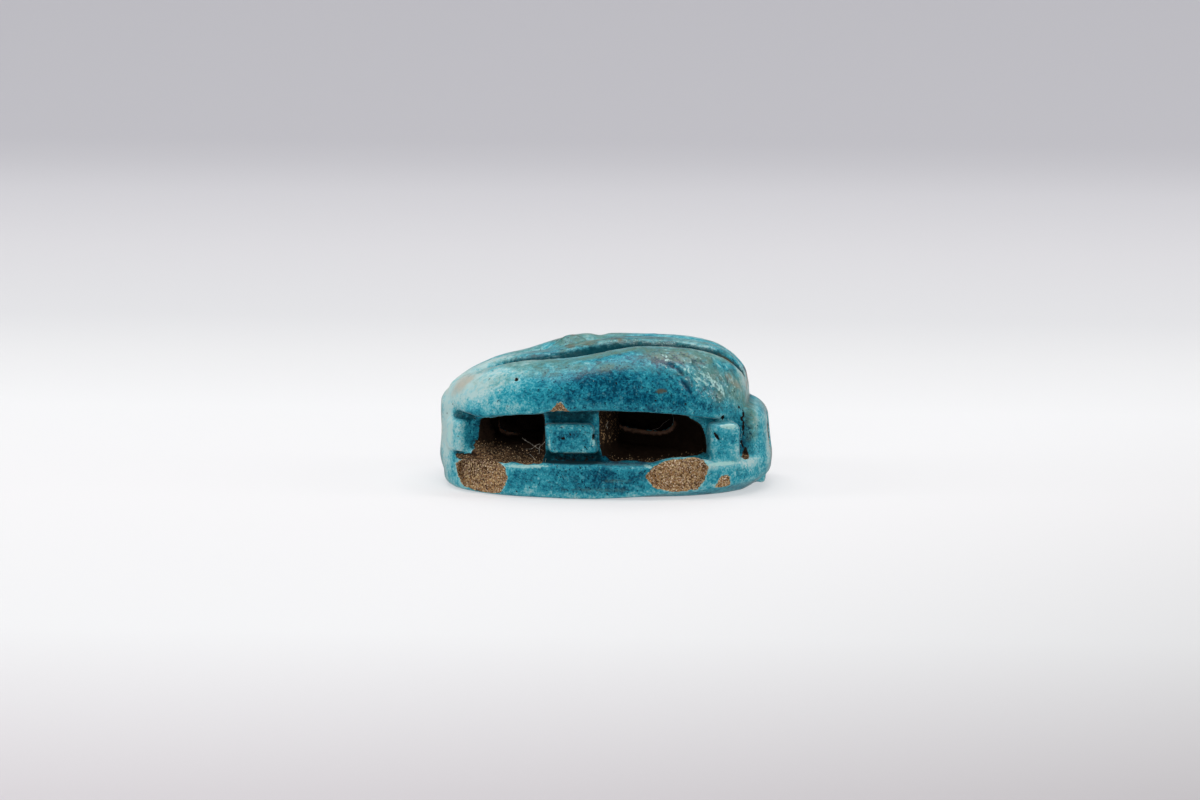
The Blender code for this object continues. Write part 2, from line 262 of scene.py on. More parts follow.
# Broken places, as corners (x, z) of the lost flake and its depth: three on the near rim, one on the lip
chips = (
    {"corners": ((-7.22, 1.30), (-6.75, 1.62), (-5.20, 1.85), (-4.62, 1.50), (-4.50, 0.90), (-4.85, 0.15),
                 (-5.80, 0.05), (-6.75, 0.35), (-7.10, 0.80)), "depth": 0.26},
    {"corners": ((2.32, 1.20), (2.85, 1.80), (3.35, 2.02), (4.92, 2.02), (5.34, 1.62), (5.10, 0.95),
                 (4.74, 0.45), (3.51, 0.40), (2.70, 0.70)), "depth": 0.26},
    {"corners": ((5.55, 0.44), (5.95, 1.12), (6.26, 1.06), (6.32, 0.46)), "depth": 0.12},
    {"corners": ((-2.42, 4.20), (-1.90, 4.76), (-1.28, 4.12), (-1.9, 3.8)), "depth": 0.50},
)

grid = {
    "step": 0.101,               # two pixels of the picture
    "low": (-8.42, -5.90, -0.25),
    "high": (8.42, 5.90, 7.50),
    "warp": 0.045,               # how far hand shaping pushes the edges about
    "warpCell": 1.4,
}


def lipHeight(x):
    reach = np.minimum(1.3, np.abs(x - form["lipMiddle"]) / form["lipReach"])
    sag = form["lipSag"] * between(-2.2, -3.0, x) * between(-7.3, -6.2, x)
    return form["lipZ"] - form["lipDrop"] * reach ** 3 - sag


def stepHeight(heights, x):
    tail, head, middle, length = heights
    return tail + (head - tail) * ease((x - middle) / length + 0.5)


def steepness(field):
    slopes = np.gradient(field, grid["step"])
    return np.sqrt(sum(slope * slope for slope in slopes))


def backField(x, y, z):
    tailX, headX = form["backEnds"]
    middle, reach = 0.5 * (headX + tailX), 0.5 * (headX - tailX)
    share = (x - middle) / reach
    away = np.abs(y)
    near = y < 0
    body = np.clip(1.0 - np.abs(share) ** form["ovalPower"], 0.0, 1.0)
    half = np.maximum(0.03, form["backHalfWidth"] * body ** (1.0 / form["ovalPower"]))
    lines = (half / form["backHalfWidth"]) ** form["converge"]
    crestY = form["crestY"] * lines
    grooveY = np.where(near, *form["grooveY"]) * lines
    tailPower, tailBend = form["tailFall"]
    headPower, headBend = form["headFall"]
    fall = np.where(share < 0, np.clip(1.0 - np.abs(share) ** tailPower, 0.0, 1.0) ** tailBend,
                    np.clip(1.0 - np.abs(share) ** headPower, 0.0, 1.0) ** headBend)
    fall = np.maximum(0.03, fall)
    lip = lipHeight(x)
    notchX, notchReach, notchDepth = form["farNotch"]
    notch = notchDepth * between(notchReach, 0.1, np.abs(x - notchX))
    crest = np.where(near, stepHeight(form["nearCrest"], x), stepHeight(form["farCrest"], x) - notch)
    ridge = stepHeight(form["ridgeTop"], x)
    groove = np.minimum(crest, ridge) - np.where(near, *form["groove"])
    down = between(np.where(near, *form["ridgeFlat"]), 1.0, away / grooveY)
    climb = np.clip((away - grooveY) / (crestY - grooveY), 0.0, 1.0)
    slope = np.sin(0.5 * math.pi * climb) ** np.where(near, *form["climb"])
    top = np.where(away < grooveY, ridge + (groove - ridge) * down, groove + (crest - groove) * slope)
    height = np.maximum(0.0, (form["poleZ"] + (z - form["poleZ"]) / fall - lip) / (crest - lip))
    outwards = np.maximum(0.0, (away - crestY) / (half - crestY + 0.01))
    outer = (outwards ** 2.27 + height ** 2.17) ** (1 / 2.17) - 1.0
    inner = height / ((top - lip) / (crest - lip)) - 1.0
    shape = np.clip(np.where(away > crestY, outer, inner), -1.0, 5.0)
    upper = np.clip(shape / np.maximum(0.06, steepness(shape)), -3.0, 3.0)
    upper = np.maximum(upper, np.abs(x - middle) - reach)
    sag = 0.1 * ease(1.0 - away / half)
    lower = form["poleZ"] + (lip - sag - form["poleZ"]) * fall - z
    return roundJoin(form["lipRound"], upper, lower)


def blockField(block, x, y, z, slope=0.0, narrow=0.0):
    tailX, headX, halfWidth, power, low, high, rounding = block
    middle, reach = 0.5 * (headX + tailX), 0.5 * (headX - tailX)
    size = 1.0 - narrow * np.clip((z - low) / (high - low), 0.0, 1.0)
    side = ovalDistance((x - middle) / size, y / size, reach, halfWidth, power)
    top = z - high + slope * np.clip((x - middle) / reach, 0.0, 1.1) ** 2
    return roundJoin(rounding, side, top, low - z)


def legField(leg, x, y, z):
    faceX, faceY, turn, width, low, high, lean, softness = leg
    dx, dy = x - faceX, -np.abs(y) - faceY
    cos, sin = math.cos(math.radians(turn)), math.sin(math.radians(turn))
    middle, half = 0.5 * (low + high), 0.5 * form["legDepth"]
    along = dx * cos + dy * sin - lean * (z - middle)
    inwards = -dx * sin + dy * cos
    return roundJoin(form["legRound"], np.abs(along) - 0.5 * width, np.abs(inwards - half) - half,
                     np.abs(z - middle) - 0.5 * (high - low))


def siltHeight(opening, away):
    return form["openingFloor"] + (opening["silt"] - form["openingFloor"]) * between(5.0, 3.2, away)


def openingField(opening, x, y, z):
    away = np.abs(y)
    depth = np.where(y < 0, form["nearDepth"], form["farDepth"])
    lip = lipHeight(x)
    share = np.clip((z - form["openingFloor"]) / (form["lipZ"] - form["openingFloor"]), 0.0, 1.0)
    flare = between(*opening["flare"], away)
    reach = np.clip((away - depth) / (form["baseHalf"][1] - depth), 0.0, 1.2)
    (tailMouth, headMouth), (tailBack, headBack) = opening["mouth"], opening["back"]
    low = tailBack + (tailMouth - tailBack) * flare + opening["lean"] * (0.5 - share)
    high = headBack + (headMouth - headBack) * reach
    thinnest, span = opening["thinnest"]
    wall = depth + form["wallBow"] * np.minimum(1.6, np.abs(x - thinnest) / span) ** 2
    floor = siltHeight(opening, away)
    length, height = opening["corner"]
    corner = np.hypot(np.maximum(0.0, (x - high) / length + 1.0), np.maximum(0.0, (z - lip) / height + 1.0))
    return roundJoin(form["openingRound"], low - x, x - high, wall - away, floor - z, z - lip - 0.05,
                     (corner - 1.0) * min(length, height))


def boreField(x, y, z):
    tubes = []
    for (startX, startZ), (endX, endZ) in zip(form["bore"][:-1], form["bore"][1:]):
        share = ((x - startX) * (endX - startX) + (z - startZ) * (endZ - startZ))
        share = np.clip(share / ((endX - startX) ** 2 + (endZ - startZ) ** 2), 0.0, 1.0)
        dx, dz = x - startX - share * (endX - startX), z - startZ - share * (endZ - startZ)
        tubes.append(np.sqrt(dx * dx + y * y + dz * dz) - form["boreRadius"])
    return np.minimum(*tubes)


def chipField(chip, x, y, z, rim):
    # a flake's outline, seen square on, that goes only so deep into the rim
    corners = chip["corners"]
    edges = [((x - ax) * -(bz - az) + (z - az) * (bx - ax)) / math.hypot(bx - ax, bz - az)
             for (ax, az), (bx, bz) in zip(corners, corners[1:] + corners[:1])]
    return roundJoin(0.10, np.maximum.reduce(edges) + 0.08, -chip["depth"] - rim, y)


def eggField(middle, size, x, y, z):
    parts = [(value - place) / half for value, place, half in zip((x, y, z), middle, size)]
    return (np.sqrt(sum(part * part for part in parts)) - 1.0) * min(size)


def blur(field, reach):
    # box blur, one axis at a time
    for axis in range(3):
        padded = np.concatenate([np.repeat(np.take(field, [0], axis), reach + 1, axis), field,
                                 np.repeat(np.take(field, [-1], axis), reach, axis)], axis)
        sums = np.cumsum(padded, axis, dtype=np.float64)
        count = field.shape[axis]
        high = np.take(sums, range(2 * reach + 1, 2 * reach + 1 + count), axis)
        low = np.take(sums, range(0, count), axis)
        field = ((high - low) / (2 * reach + 1)).astype(np.float32)
    return field


def baseField(x, y, flatZ, z):
    # the plate's outline as a distance, and the plate, whose underside lifts at both ends
    rim = ovalDistance(x - form["baseMiddle"], y, *form["baseHalf"], form["ovalPower"])
    share = np.abs(x) / form["baseHalf"][0]
    start = form["headRiseStart"]
    headwards = form["headRise"] * ease(start + (1 - start) * share)
    rise = np.where(x < 0, form["tailRise"] * ease(share), headwards)
    under = rise * between(-form["footMargin"], 0.0, rim)
    plate = roundJoin(form["rimUnder"], rim, under - flatZ)
    return rim, roundJoin(form["rimTop"], plate, z - form["baseHeight"])


def makeFields():
    low, high, step = np.array(grid["low"]), np.array(grid["high"]), grid["step"]
    shape = tuple(int(n) for n in np.ceil((high - low) / step))
    rng = np.random.default_rng(11)
    axes = [(low[k] + np.arange(shape[k]) * step).astype(np.float32) for k in range(3)]
    x = axes[0][:, None, None] - form["shift"] + grid["warp"] * softGrid(shape, grid["warpCell"], rng)
    y = axes[1][None, :, None] + grid["warp"] * softGrid(shape, grid["warpCell"], rng)
    z = axes[2][None, None, :] + 0.6 * grid["warp"] * softGrid(shape, grid["warpCell"], rng)

    # what stands: plate, core, back with its knob, head, legs, silt
    rim, body = baseField(x, y, axes[2][None, None, :], z)
    body = softMin(body, blockField(form["drum"], x, y, z, narrow=0.06), 0.16)
    body = softMin(body, blockField(form["rump"], x, y, z), 0.25)
    dripX, dripY, dripZ, dripSize = form["drip"]
    body = softMin(body, np.sqrt((x - dripX) ** 2 + (y - dripY) ** 2 + (z - dripZ) ** 2) - dripSize, 0.15)
    back = blur(backField(x, y, z).astype(np.float32), 1)
    knobX, knobY = form["knob"]
    knobZ = float(stepHeight(form["ridgeTop"], np.float64(knobX))) + form["knobHeight"] - form["knobSize"][2]
    knob = eggField((knobX, knobY, knobZ), form["knobSize"], x, y, z)
    back = softMin(back, knob, 0.06 + 0.34 * between(-1.0, -2.3, x))     # melts in tailwards
    body = softMin(body, back, 0.10)
    body = softMin(body, blockField(form["head"], x, y, z, form["headSlope"], form["headNarrow"]), 0.16)
    for leg in form["legs"]:
        body = softMin(body, legField(leg, x, y, z), leg[-1])
    for opening in form["openings"]:
        tailX, headX = opening["mouth"]
        top = z - siltHeight(opening, np.abs(y)) - 0.01
        body = softMin(body, roundJoin(0.08, top, tailX - x, x - headX, rim + 0.25, 1.3 - z), 0.05)

    # what is cut: slots, openings, bore, and last the flakes, whose edges stay sharp
    hollow = np.minimum(*[openingField(opening, x, y, z) for opening in form["openings"]])
    bore = boreField(x, y, z)
    for tailX, headX, nearY, farY, low, high in form["slots"]:
        slot = roundJoin(0.06, tailX - x, x - headX, nearY - y, y - farY, low - z, z - high)
        body = softCut(body, slot, 0.05)
    body = softCut(body, hollow, 0.12)
    for middle, size in form["pools"]:
        body = softMin(body, eggField(middle, size, x, y, z), 0.20)
    body = softCut(body, bore, 0.10)
    body = blur(body.astype(np.float32), 1)
    lost = np.minimum.reduce([chipField(chip, x, y, z, rim) for chip in chips])
    body = softCut(body, lost, 0.04)
    fields = {"body": body, "hollow": hollow, "bore": bore, "lost": lost, "crease": blur(body, 4) - body}
    return {name: field.astype(np.float32) for name, field in fields.items()}


def surfaceNet(field):
    # one vertex in each cell that the surface passes through, one quad across each grid edge that it cuts
    inside = field < 0
    size = np.array(field.shape)
    corners = [np.array((i, j, k)) for i in (0, 1) for j in (0, 1) for k in (0, 1)]

    def cellCorner(values, corner):
        return values[tuple(slice(c, n - 1 + c) for c, n in zip(corner, size))]

    count = sum(cellCorner(inside, corner).astype(np.int8) for corner in corners)
    active = (count > 0) & (count < 8)
    cells = np.argwhere(active)
    number = np.full(active.shape, -1, np.int32)
    number[active] = np.arange(len(cells))
    values = [cellCorner(field, corner)[active].astype(np.float64) for corner in corners]
    total, hits = np.zeros((len(cells), 3)), np.zeros(len(cells))
    for a, first in enumerate(corners):
        for b, second in enumerate(corners):
            if b > a and np.abs(second - first).sum() == 1:
                crosses = (values[a] < 0) != (values[b] < 0)
                gap = np.where(crosses, values[a] - values[b], 1.0)
                share = np.where(crosses, values[a] / gap, 0.0)
                total += (first + (second - first) * share[:, None]) * crosses[:, None]
                hits += crosses
    points = np.array(grid["low"]) + (cells + total / hits[:, None]) * grid["step"]
    quads = []
    for axis in range(3):
        one, two = np.eye(3, dtype=int)[(axis + 1) % 3], np.eye(3, dtype=int)[(axis + 2) % 3]
        lower = inside[tuple(slice(0, size[k] - 1) if k == axis else slice(1, size[k] - 1) for k in range(3))]
        upper = inside[tuple(slice(1, size[k]) if k == axis else slice(1, size[k] - 1) for k in range(3))]
        place = np.argwhere(lower != upper)
        outward = lower[tuple(place.T)]
        place = place + one + two
        quad = np.stack([number[tuple((place - shift).T)] for shift in (0 * one, one, one + two, two)], 1)
        quads.append(np.where(outward[:, None], quad, quad[:, ::-1]))
    return points, np.concatenate(quads)


def sample(field, points):
    q = (points - np.array(grid["low"])) / grid["step"]
    base = np.clip(np.floor(q), 0, np.array(field.shape) - 2).astype(int)
    return sum(share * field[tuple((base + corner).T)]
               for corner, share in cornerShares(np.clip(q - base, 0.0, 1.0)))


def surfaceNormals(slopes, points):
    normals = np.stack([sample(slope, points) for slope in slopes], 1)
    return normals / np.maximum(1e-6, np.linalg.norm(normals, axis=1))[:, None]


# Places on the side that the picture shows: across and up in millimetres as seen from the camera,
# half length, half height, turn in degrees, strength. Thick glaze is deep blue and thin glaze is pale;
# some patches also paint shade and light

patches = {
    "deepGlazeAndShade": (       # deep blue glaze, and painted shade on the tail leg's side; a negative strength makes it paler
        (0.7, 4.4, 3.4, 1.2, -6, 0.26), (3.4, 3.85, 2.6, 0.5, -8, 0.10), (-2.6, 4.1, 2.4, 0.5, 0, 0.10),
        (4.1, 4.75, 0.5, 0.45, 0, 0.12), (2.9, 5.85, 0.5, 0.25, -12, 0.45),
        (5.25, 4.6, 0.5, 0.35, -40, 0.22), (-0.6, -0.36, 2.6, 0.18, 0, 0.16),
        (7.72, 2.4, 0.16, 1.0, 0, -0.10), (-0.8, 5.3, 1.6, 0.4, 0, 0.08), (5.7, 3.8, 1.0, 0.5, 0, 0.10),
        (4.9, 5.2, 1.6, 0.8, -30, 0.07), (3.2, 6.1, 1.9, 0.3, -3, 0.14), (0.4, 0.55, 3.4, 0.9, 0, 0.24),
        (-2.7, 0.5, 2.4, 0.7, 0, 0.08), (-6.6, 3.0, 0.5, 1.2, 0, 0.22), (-1.9, 2.3, 1.8, 1.0, 0, 0.20),
        (-0.4, 5.1, 2.0, 0.4, 0, 0.08), (5.9, 2.3, 0.8, 1.0, 0, 0.08), (5.0, 3.7, 1.4, 0.8, 0, 0.04),
    ),
    "thinAndLit": (       # pale glaze on the shoulders and edges, partly painted light: rims at both ends, above the front leg
        (4.9, 6.45, 1.2, 0.2, -24, 0.16), (-5.9, 5.05, 2.3, 0.75, 13, 0.36),
        (-7.1, 4.3, 1.1, 1.1, 60, 0.38), (-7.88, 2.4, 0.30, 1.9, 0, 0.75), (5.3, 5.0, 1.7, 1.0, -35, 0.09),
        (6.3, 4.6, 0.5, 1.1, 12, 0.12), (-1.2, 5.65, 2.6, 0.35, 9, 0.04), (-5.4, 3.9, 1.6, 0.8, 0, 0.10),
        (5.5, 3.2, 0.8, 0.35, 0, 0.12), (2.5, 3.75, 2.8, 0.25, -4, 0.08), (5.9, 3.1, 0.7, 0.3, 0, 0.20),
        (6.9, 1.0, 1.0, 0.8, 0, 0.12), (-7.4, 2.1, 0.45, 0.9, 0, 0.14), (-2.4, 6.1, 2.2, 0.18, 8, 0.16),
        (6.6, 4.4, 0.6, 1.2, 10, 0.16), (7.35, 2.9, 0.18, 1.4, 0, 0.26), (-1.4, 0.35, 1.2, 0.35, 0, 0.08),
        (5.9, 0.9, 1.6, 0.5, 0, 0.20), (-5.6, 6.15, 2.2, 0.28, 22, 0.52), (-5.2, 5.95, 1.8, 0.14, 20, 0.3),
        (6.85, 5.2, 0.35, 0.9, 15, 0.36), (7.98, 1.8, 0.12, 1.5, 0, 0.4), (4.6, 6.55, 1.6, 0.3, -16, 0.12),
        (-6.2, 1.0, 1.6, 0.6, 0, 0.08),
    ),
    "olive": (       # glaze stained green and brown by iron
        (3.3, 6.2, 2.2, 0.35, -3, 0.8), (1.5, 6.9, 5.5, 0.45, -2, 0.6), (5.2, 5.6, 1.6, 0.6, -25, 0.35),
        (6.7, 4.6, 0.7, 1.4, 12, 0.5), (7.1, 2.8, 0.5, 1.2, 0, 0.7), (-4.0, 6.2, 2.4, 0.3, 12, 0.5),
        (-1.6, 6.95, 1.6, 0.4, 0, 0.5), (4.9, 5.0, 1.8, 0.9, -30, 0.5), (-5.6, 4.9, 1.8, 0.5, 14, 0.5),
        (0.6, 0.06, 0.9, 0.10, 0, 0.6), (-0.2, 6.27, 1.7, 0.14, 10, 0.9), (-0.6, -0.38, 2.4, 0.16, 0, 0.5),
        (5.6, 0.5, 1.4, 0.6, 0, 0.12), (-0.4, 5.7, 2.0, 0.4, 0, 0.35), (2.2, 5.6, 1.6, 0.4, -5, 0.4),
        (5.8, 3.9, 0.9, 0.8, 0, 0.35), (6.9, 1.0, 1.0, 0.8, 0, 0.3), (6.95, 5.0, 0.3, 0.6, 0, -0.5),
    ),
    "blush": (       # paste that shines pinkish through the glaze
        (-7.2, 4.75, 0.9, 0.35, 52, 0.8), (-6.3, 5.25, 1.0, 0.16, 30, 0.6), (6.3, 4.9, 0.9, 0.20, -48, 0.6),
    ),
    "wrinkle": (       # glaze that has crawled into small folds
        (4.4, 5.2, 2.4, 1.1, -30, 0.9), (6.2, 5.0, 0.7, 0.9, -50, 0.4), (2.0, 6.85, 5.0, 0.35, -3, 0.45),
        (-1.0, 5.75, 3.0, 0.4, 8, 0.22), (-4.0, 6.1, 2.5, 0.3, 14, 0.35), (2.4, 6.0, 1.8, 0.3, 0, 0.25),
    ),
    "filmAndHighlight": (       # weathered whitish film, and painted highlights on the edges, the front leg's shoulder and the ridge
        (6.0, 2.74, 0.48, 0.13, 0, 1.4), (-7.75, 2.3, 0.10, 0.75, 0, 0.8), (-3.9, 0.78, 1.3, 0.10, 0, 1.2),
        (-1.6, 1.44, 1.0, 0.09, 0, 0.8), (-2.82, 1.95, 0.09, 0.45, 0, 0.8), (5.75, 0.90, 0.8, 0.11, 4, 1.6),
        (2.05, 0.78, 0.25, 0.10, -20, 1.2), (6.62, 2.1, 0.08, 0.8, 0, 0.6), (-7.1, 0.2, 0.3, 0.5, 0, 0.5),
        (-1.6, 5.7, 2.6, 0.35, 9, 0.14), (-5.6, 5.3, 2.0, 0.4, 14, 0.25), (2.5, 6.75, 4.6, 0.25, -4, 0.5),
        (-0.62, 2.0, 0.09, 0.35, 0, 0.9),
    ),
    "grime": (       # dark soil in the tail break and above it
        (-6.2, 1.35, 1.5, 0.40, 0, 1.2), (-6.1, 0.85, 1.2, 0.45, 6, 0.8),
        (-6.75, 0.70, 0.55, 0.75, 20, 0.6), (-4.95, 0.75, 0.50, 0.70, 0, -0.5),
    ),
    "bare": (       # glaze worn away down to brown paste
        (2.68, 4.49, 0.32, 0.15, 0, 1.0), (-1.75, 6.63, 0.3, 0.13, 0, 0.9),
        (-1.5, 7.20, 0.45, 0.12, 0, 0.8), (0.62, 6.98, 0.25, 0.1, 0, 0.8), (5.37, 6.73, 0.3, 0.1, -25, 0.9),
        (-3.6, 6.55, 1.4, 0.05, 13, 0.9), (-0.9, 6.72, 0.5, 0.05, 12, 0.8), (5.9, 6.0, 0.6, 0.07, -35, 0.8),
        (-3.35, 3.2, 0.25, 0.2, -60, 1.0), (-2.73, 2.5, 0.14, 0.14, 0, 0.8),
    ),
}

# Pits: across, up, radius, depth, how much longer than wide, turn in degrees
pits = (
    (-4.46, 5.08, 0.11, 0.12, 1.2, 40), (1.21, 3.86, 0.07, 0.10, 1.0, 0), (3.92, 3.83, 0.08, 0.12, 1.0, 0),
    (5.75, 3.15, 0.10, 0.10, 1.4, 70), (6.55, 3.70, 0.08, 0.08, 1.0, 0), (-2.14, 2.18, 0.09, 0.08, 1.3, 30),
    (-1.78, 2.36, 0.06, 0.06, 1.0, 0), (5.45, 2.27, 0.10, 0.22, 2.8, -52), (0.5, 4.9, 0.07, 0.06, 1.0, 0),
    (-6.5, 3.1, 0.07, 0.06, 1.0, 0), (-1.15, 2.75, 0.05, 0.05, 1.0, 0), (6.95, 2.6, 0.06, 0.05, 1.0, 0),
    (-0.60, 2.25, 0.10, 0.14, 1.9, 75),
)


def seenFrom(points):
    turn, height = math.radians(cameraView["turn"]), math.radians(cameraView["height"])
    depth = points[:, 1] * math.cos(turn) - points[:, 0] * math.sin(turn)
    across = points[:, 0] * math.cos(turn) + points[:, 1] * math.sin(turn)
    closer = 1.0 - depth / cameraView["distance"]     # things near the lens look a little larger
    return across * closer, (points[:, 2] * math.cos(height) + depth * math.sin(height)) * closer


def fromOval(across, up, turn, halfLength, halfHeight):
    # distance from the middle of a turned oval, 1 on its edge
    cos, sin = math.cos(math.radians(turn)), math.sin(math.radians(turn))
    return np.hypot((across * cos + up * sin) / halfLength, (up * cos - across * sin) / halfHeight)


def patchMask(name, at):
    total = np.zeros(len(at.across))
    for across, up, halfLength, halfHeight, turn, strength in patches[name]:
        share = fromOval(at.across - across, at.up - up, turn, halfLength, halfHeight)
        total += strength * between(1.45, 0.25, share)
    return total * at.near


def settle(field):
    # the field's surface as points and quads; three steps bring every point right onto it
    points, quads = surfaceNet(field)
    slopes = np.gradient(field, grid["step"])
    for _ in range(3):
        normals = surfaceNormals(slopes, points)
        points = points - normals * np.clip(sample(field, points), -0.05, 0.05)[:, None]
    return points, quads, surfaceNormals(slopes, points)


def describe(fields, points, normals):
    # what the masks below need to know about every point of the skin
    at = SimpleNamespace(points=points, facing=normals[:, 1], rise=normals[:, 2])
    at.x, at.y, at.height = points[:, 0] - form["shift"], points[:, 1], points[:, 2]
    at.away = np.abs(at.y)
    at.across, at.up = seenFrom(points)
    at.near = between(0.35, -0.10, at.facing) * between(1.2, 0.4, at.y)     # 1 where the picture shows it
    for name in ("hollow", "bore", "lost", "crease"):
        setattr(at, name, sample(fields[name], points))
    at.rimDepth = -ovalDistance(at.x - form["baseMiddle"], at.y, *form["baseHalf"], form["ovalPower"])
    at.upright = between(0.6, 0.2, at.rise)
    at.ragged = 0.05 * lumps(points, 0.45, 5) + 0.03 * lumps(points, 0.2, 6)
    at.wobble = 0.30 * lumps(points, 0.9, 7) + 0.14 * lumps(points, 0.35, 8)
    return at


def findSoil(at, masks):
    # broken paste, and soil in the openings, the bore and the creases; gives back the crack beside the head,
    # whose dark line is painted shade
    x, away, height, nearHalf = at.x, at.away, at.height, at.y < 0
    core = between(0.13, 0.08, at.lost + 0.7 * at.ragged)
    inHollow = between(0.10, 0.02, at.hollow)

    # how far in from the rim the openings are still glazed, on walls and on floors
    floor = 1.0 - at.upright
    glazedIn = 0.30 + 0.9 * between(-4.8, -6.2, x) * at.upright - 0.2 * between(-4.0, -4.6, x)
    glazedIn += 0.25 * (x > 0) + 0.6 * between(2.4, 3.4, x) * floor
    glazedIn += 0.35 * between(-0.4, 0.2, x) * between(2.4, 1.6, x) * floor
    glazedIn += 0.40 * between(-0.4, 0.2, x) * between(3.2, 2.0, x) * floor
    fade = 0.12 + 0.25 * at.upright
    soil = np.maximum(inHollow * between(glazedIn - fade, glazedIn + fade, at.rimDepth + at.wobble),
                      between(0.08, 0.0, at.bore))
    creased = between(-0.10, -0.16, at.crease + 0.03 * at.wobble)
    soil = np.maximum(soil, 0.45 * creased * between(4.6, 3.9, height))

    # a ragged crack between head and back, painted dark as the shade in a gap too narrow to model,
    # with crumbs at its foot
    bends = 0.16 * lumps(at.points, 0.6, 63) + 0.05 * lumps(at.points, 0.2, 64)
    crackAndShade = between(0.07, 0.02, np.abs(x - 6.86 - bends + 0.08 * (height - 3.0))) * between(4.3, 4.1, height)
    crackAndShade = crackAndShade * between(2.2, 2.5, away) * (height > 1.7) * nearHalf
    foot = between(0.30, 0.05, np.abs(x - 7.0) + 0.3 * (height - 1.8)) * between(2.5, 2.8, away)
    foot = foot * (height > 1.7) * between(2.5, 2.1, height) * between(3.6, 3.2, away) * nearHalf
    soil = np.maximum(soil, foot)
    soil = np.maximum(soil, masks["grime"] * between(-0.5, -0.1, at.wobble) * between(-0.2, 0.5, at.rise))
    masks["core"], masks["soil"] = core, soil * (1.0 - core)

    # paler soil on the core wall between the openings; painted light: the soil is paler near the mouths and
    # on the floors, darker deeper in, and the bore's lower lip, where it faces up, is a lit brown
    pillar = between(1.4, 0.8, x) * between(-0.6, 0.0, x) * between(1.9, 2.7, height) * nearHalf
    masks["pillar"] = pillar
    masks["outer"] = between(2.3, 0.3, at.rimDepth) * np.maximum(0.25 + 0.75 * floor, pillar)
    masks["lip"] = between(0.42, 0.10, at.bore) * between(-0.3, 0.5, at.rise - 0.5 * at.facing) * inHollow
    masks["lip"] *= between(3.5, 2.9, height) * between(1.6, 1.0, away)
    masks["lip"] *= np.where(x < 0, between(-3.9, -4.7, x), 1.0)
    # a pale line round the breaks: thin glaze, with a painted glint
    masks["chipEdgeFilmAndGlint"] = between(0.22, 0.12, at.lost + 0.7 * at.ragged) * (1 - core)
    lipLine = between(0.16, 0.06, at.hollow) * between(3.5, 3.8, height) * between(0.0, -0.5, at.rise)
    lipLine = 0.9 * lipLine * between(-0.3, 0.1, lumps(at.points, 0.7, 62)) * at.near
    masks["bare"] = np.maximum(masks["bare"], lipLine)
    return crackAndShade


def findCreaseShade(at, masks):
    # painted shade: the grooves beside the ridge, the creases, the places under the legs and beside the head
    # are darkened to stand in for the shade there; the glaze also lies a little deeper in them
    x, away, height = at.x, at.away, at.height
    glazed = (1.0 - masks["core"]) * (1.0 - masks["soil"])
    lines = (np.clip(1.0 - np.abs((x + 0.375) / 7.475) ** form["ovalPower"], 0.001, 1.0)
             ** (form["converge"] / form["ovalPower"]))
    groove = away / (np.where(at.y < 0, *form["grooveY"]) * lines)
    pooledGlazeAndShade = between(0.40, 0.74, groove + 0.08 * at.wobble) * between(1.30, 1.12, groove)
    pooledGlazeAndShade *= between(4.4, 5.6, height) * between(7.0, 6.7, x) * (0.15 + 0.85 * between(-5.8, -4.0, x))
    knobX, knobY = form["knob"]
    fromKnob = np.hypot((x - knobX) / form["knobSize"][0], (at.y - knobY) / form["knobSize"][1])
    pooledGlazeAndShade *= 1.0 - between(1.5, 0.9, fromKnob) * between(6.2, 6.7, height)
    # painted shadow under the legs
    shadeUnderLeg = between(2.35, 2.15, height) * between(0.10, 0.40, at.rimDepth) * (height > 1.5)
    shadeUnderLeg = shadeUnderLeg * between(6.8, 6.2, np.abs(x + 2.3)) * (1.0 - 0.75 * between(-0.3, 0.4, x))
    # painted shade in concave creases
    creased = between(-0.015, -0.075, at.crease + 0.02 * at.wobble) * (0.60 - 0.35 * between(4.6, 5.2, x))
    pooledGlazeAndShade = np.maximum(pooledGlazeAndShade, creased)
    pooledGlazeAndShade = np.maximum(pooledGlazeAndShade, 0.9 * shadeUnderLeg * between(2.5, 3.0, away)) * glazed
    headShade = between(0.50, 0.1, np.abs(x - 7.0)) * between(4.4, 3.6, height) * (away > 2.0) * at.near
    headShade *= between(1.7, 2.0, height)
    masks["pooledGlazeAndShade"] = np.maximum(pooledGlazeAndShade, 0.38 * headShade * glazed)
    return headShade


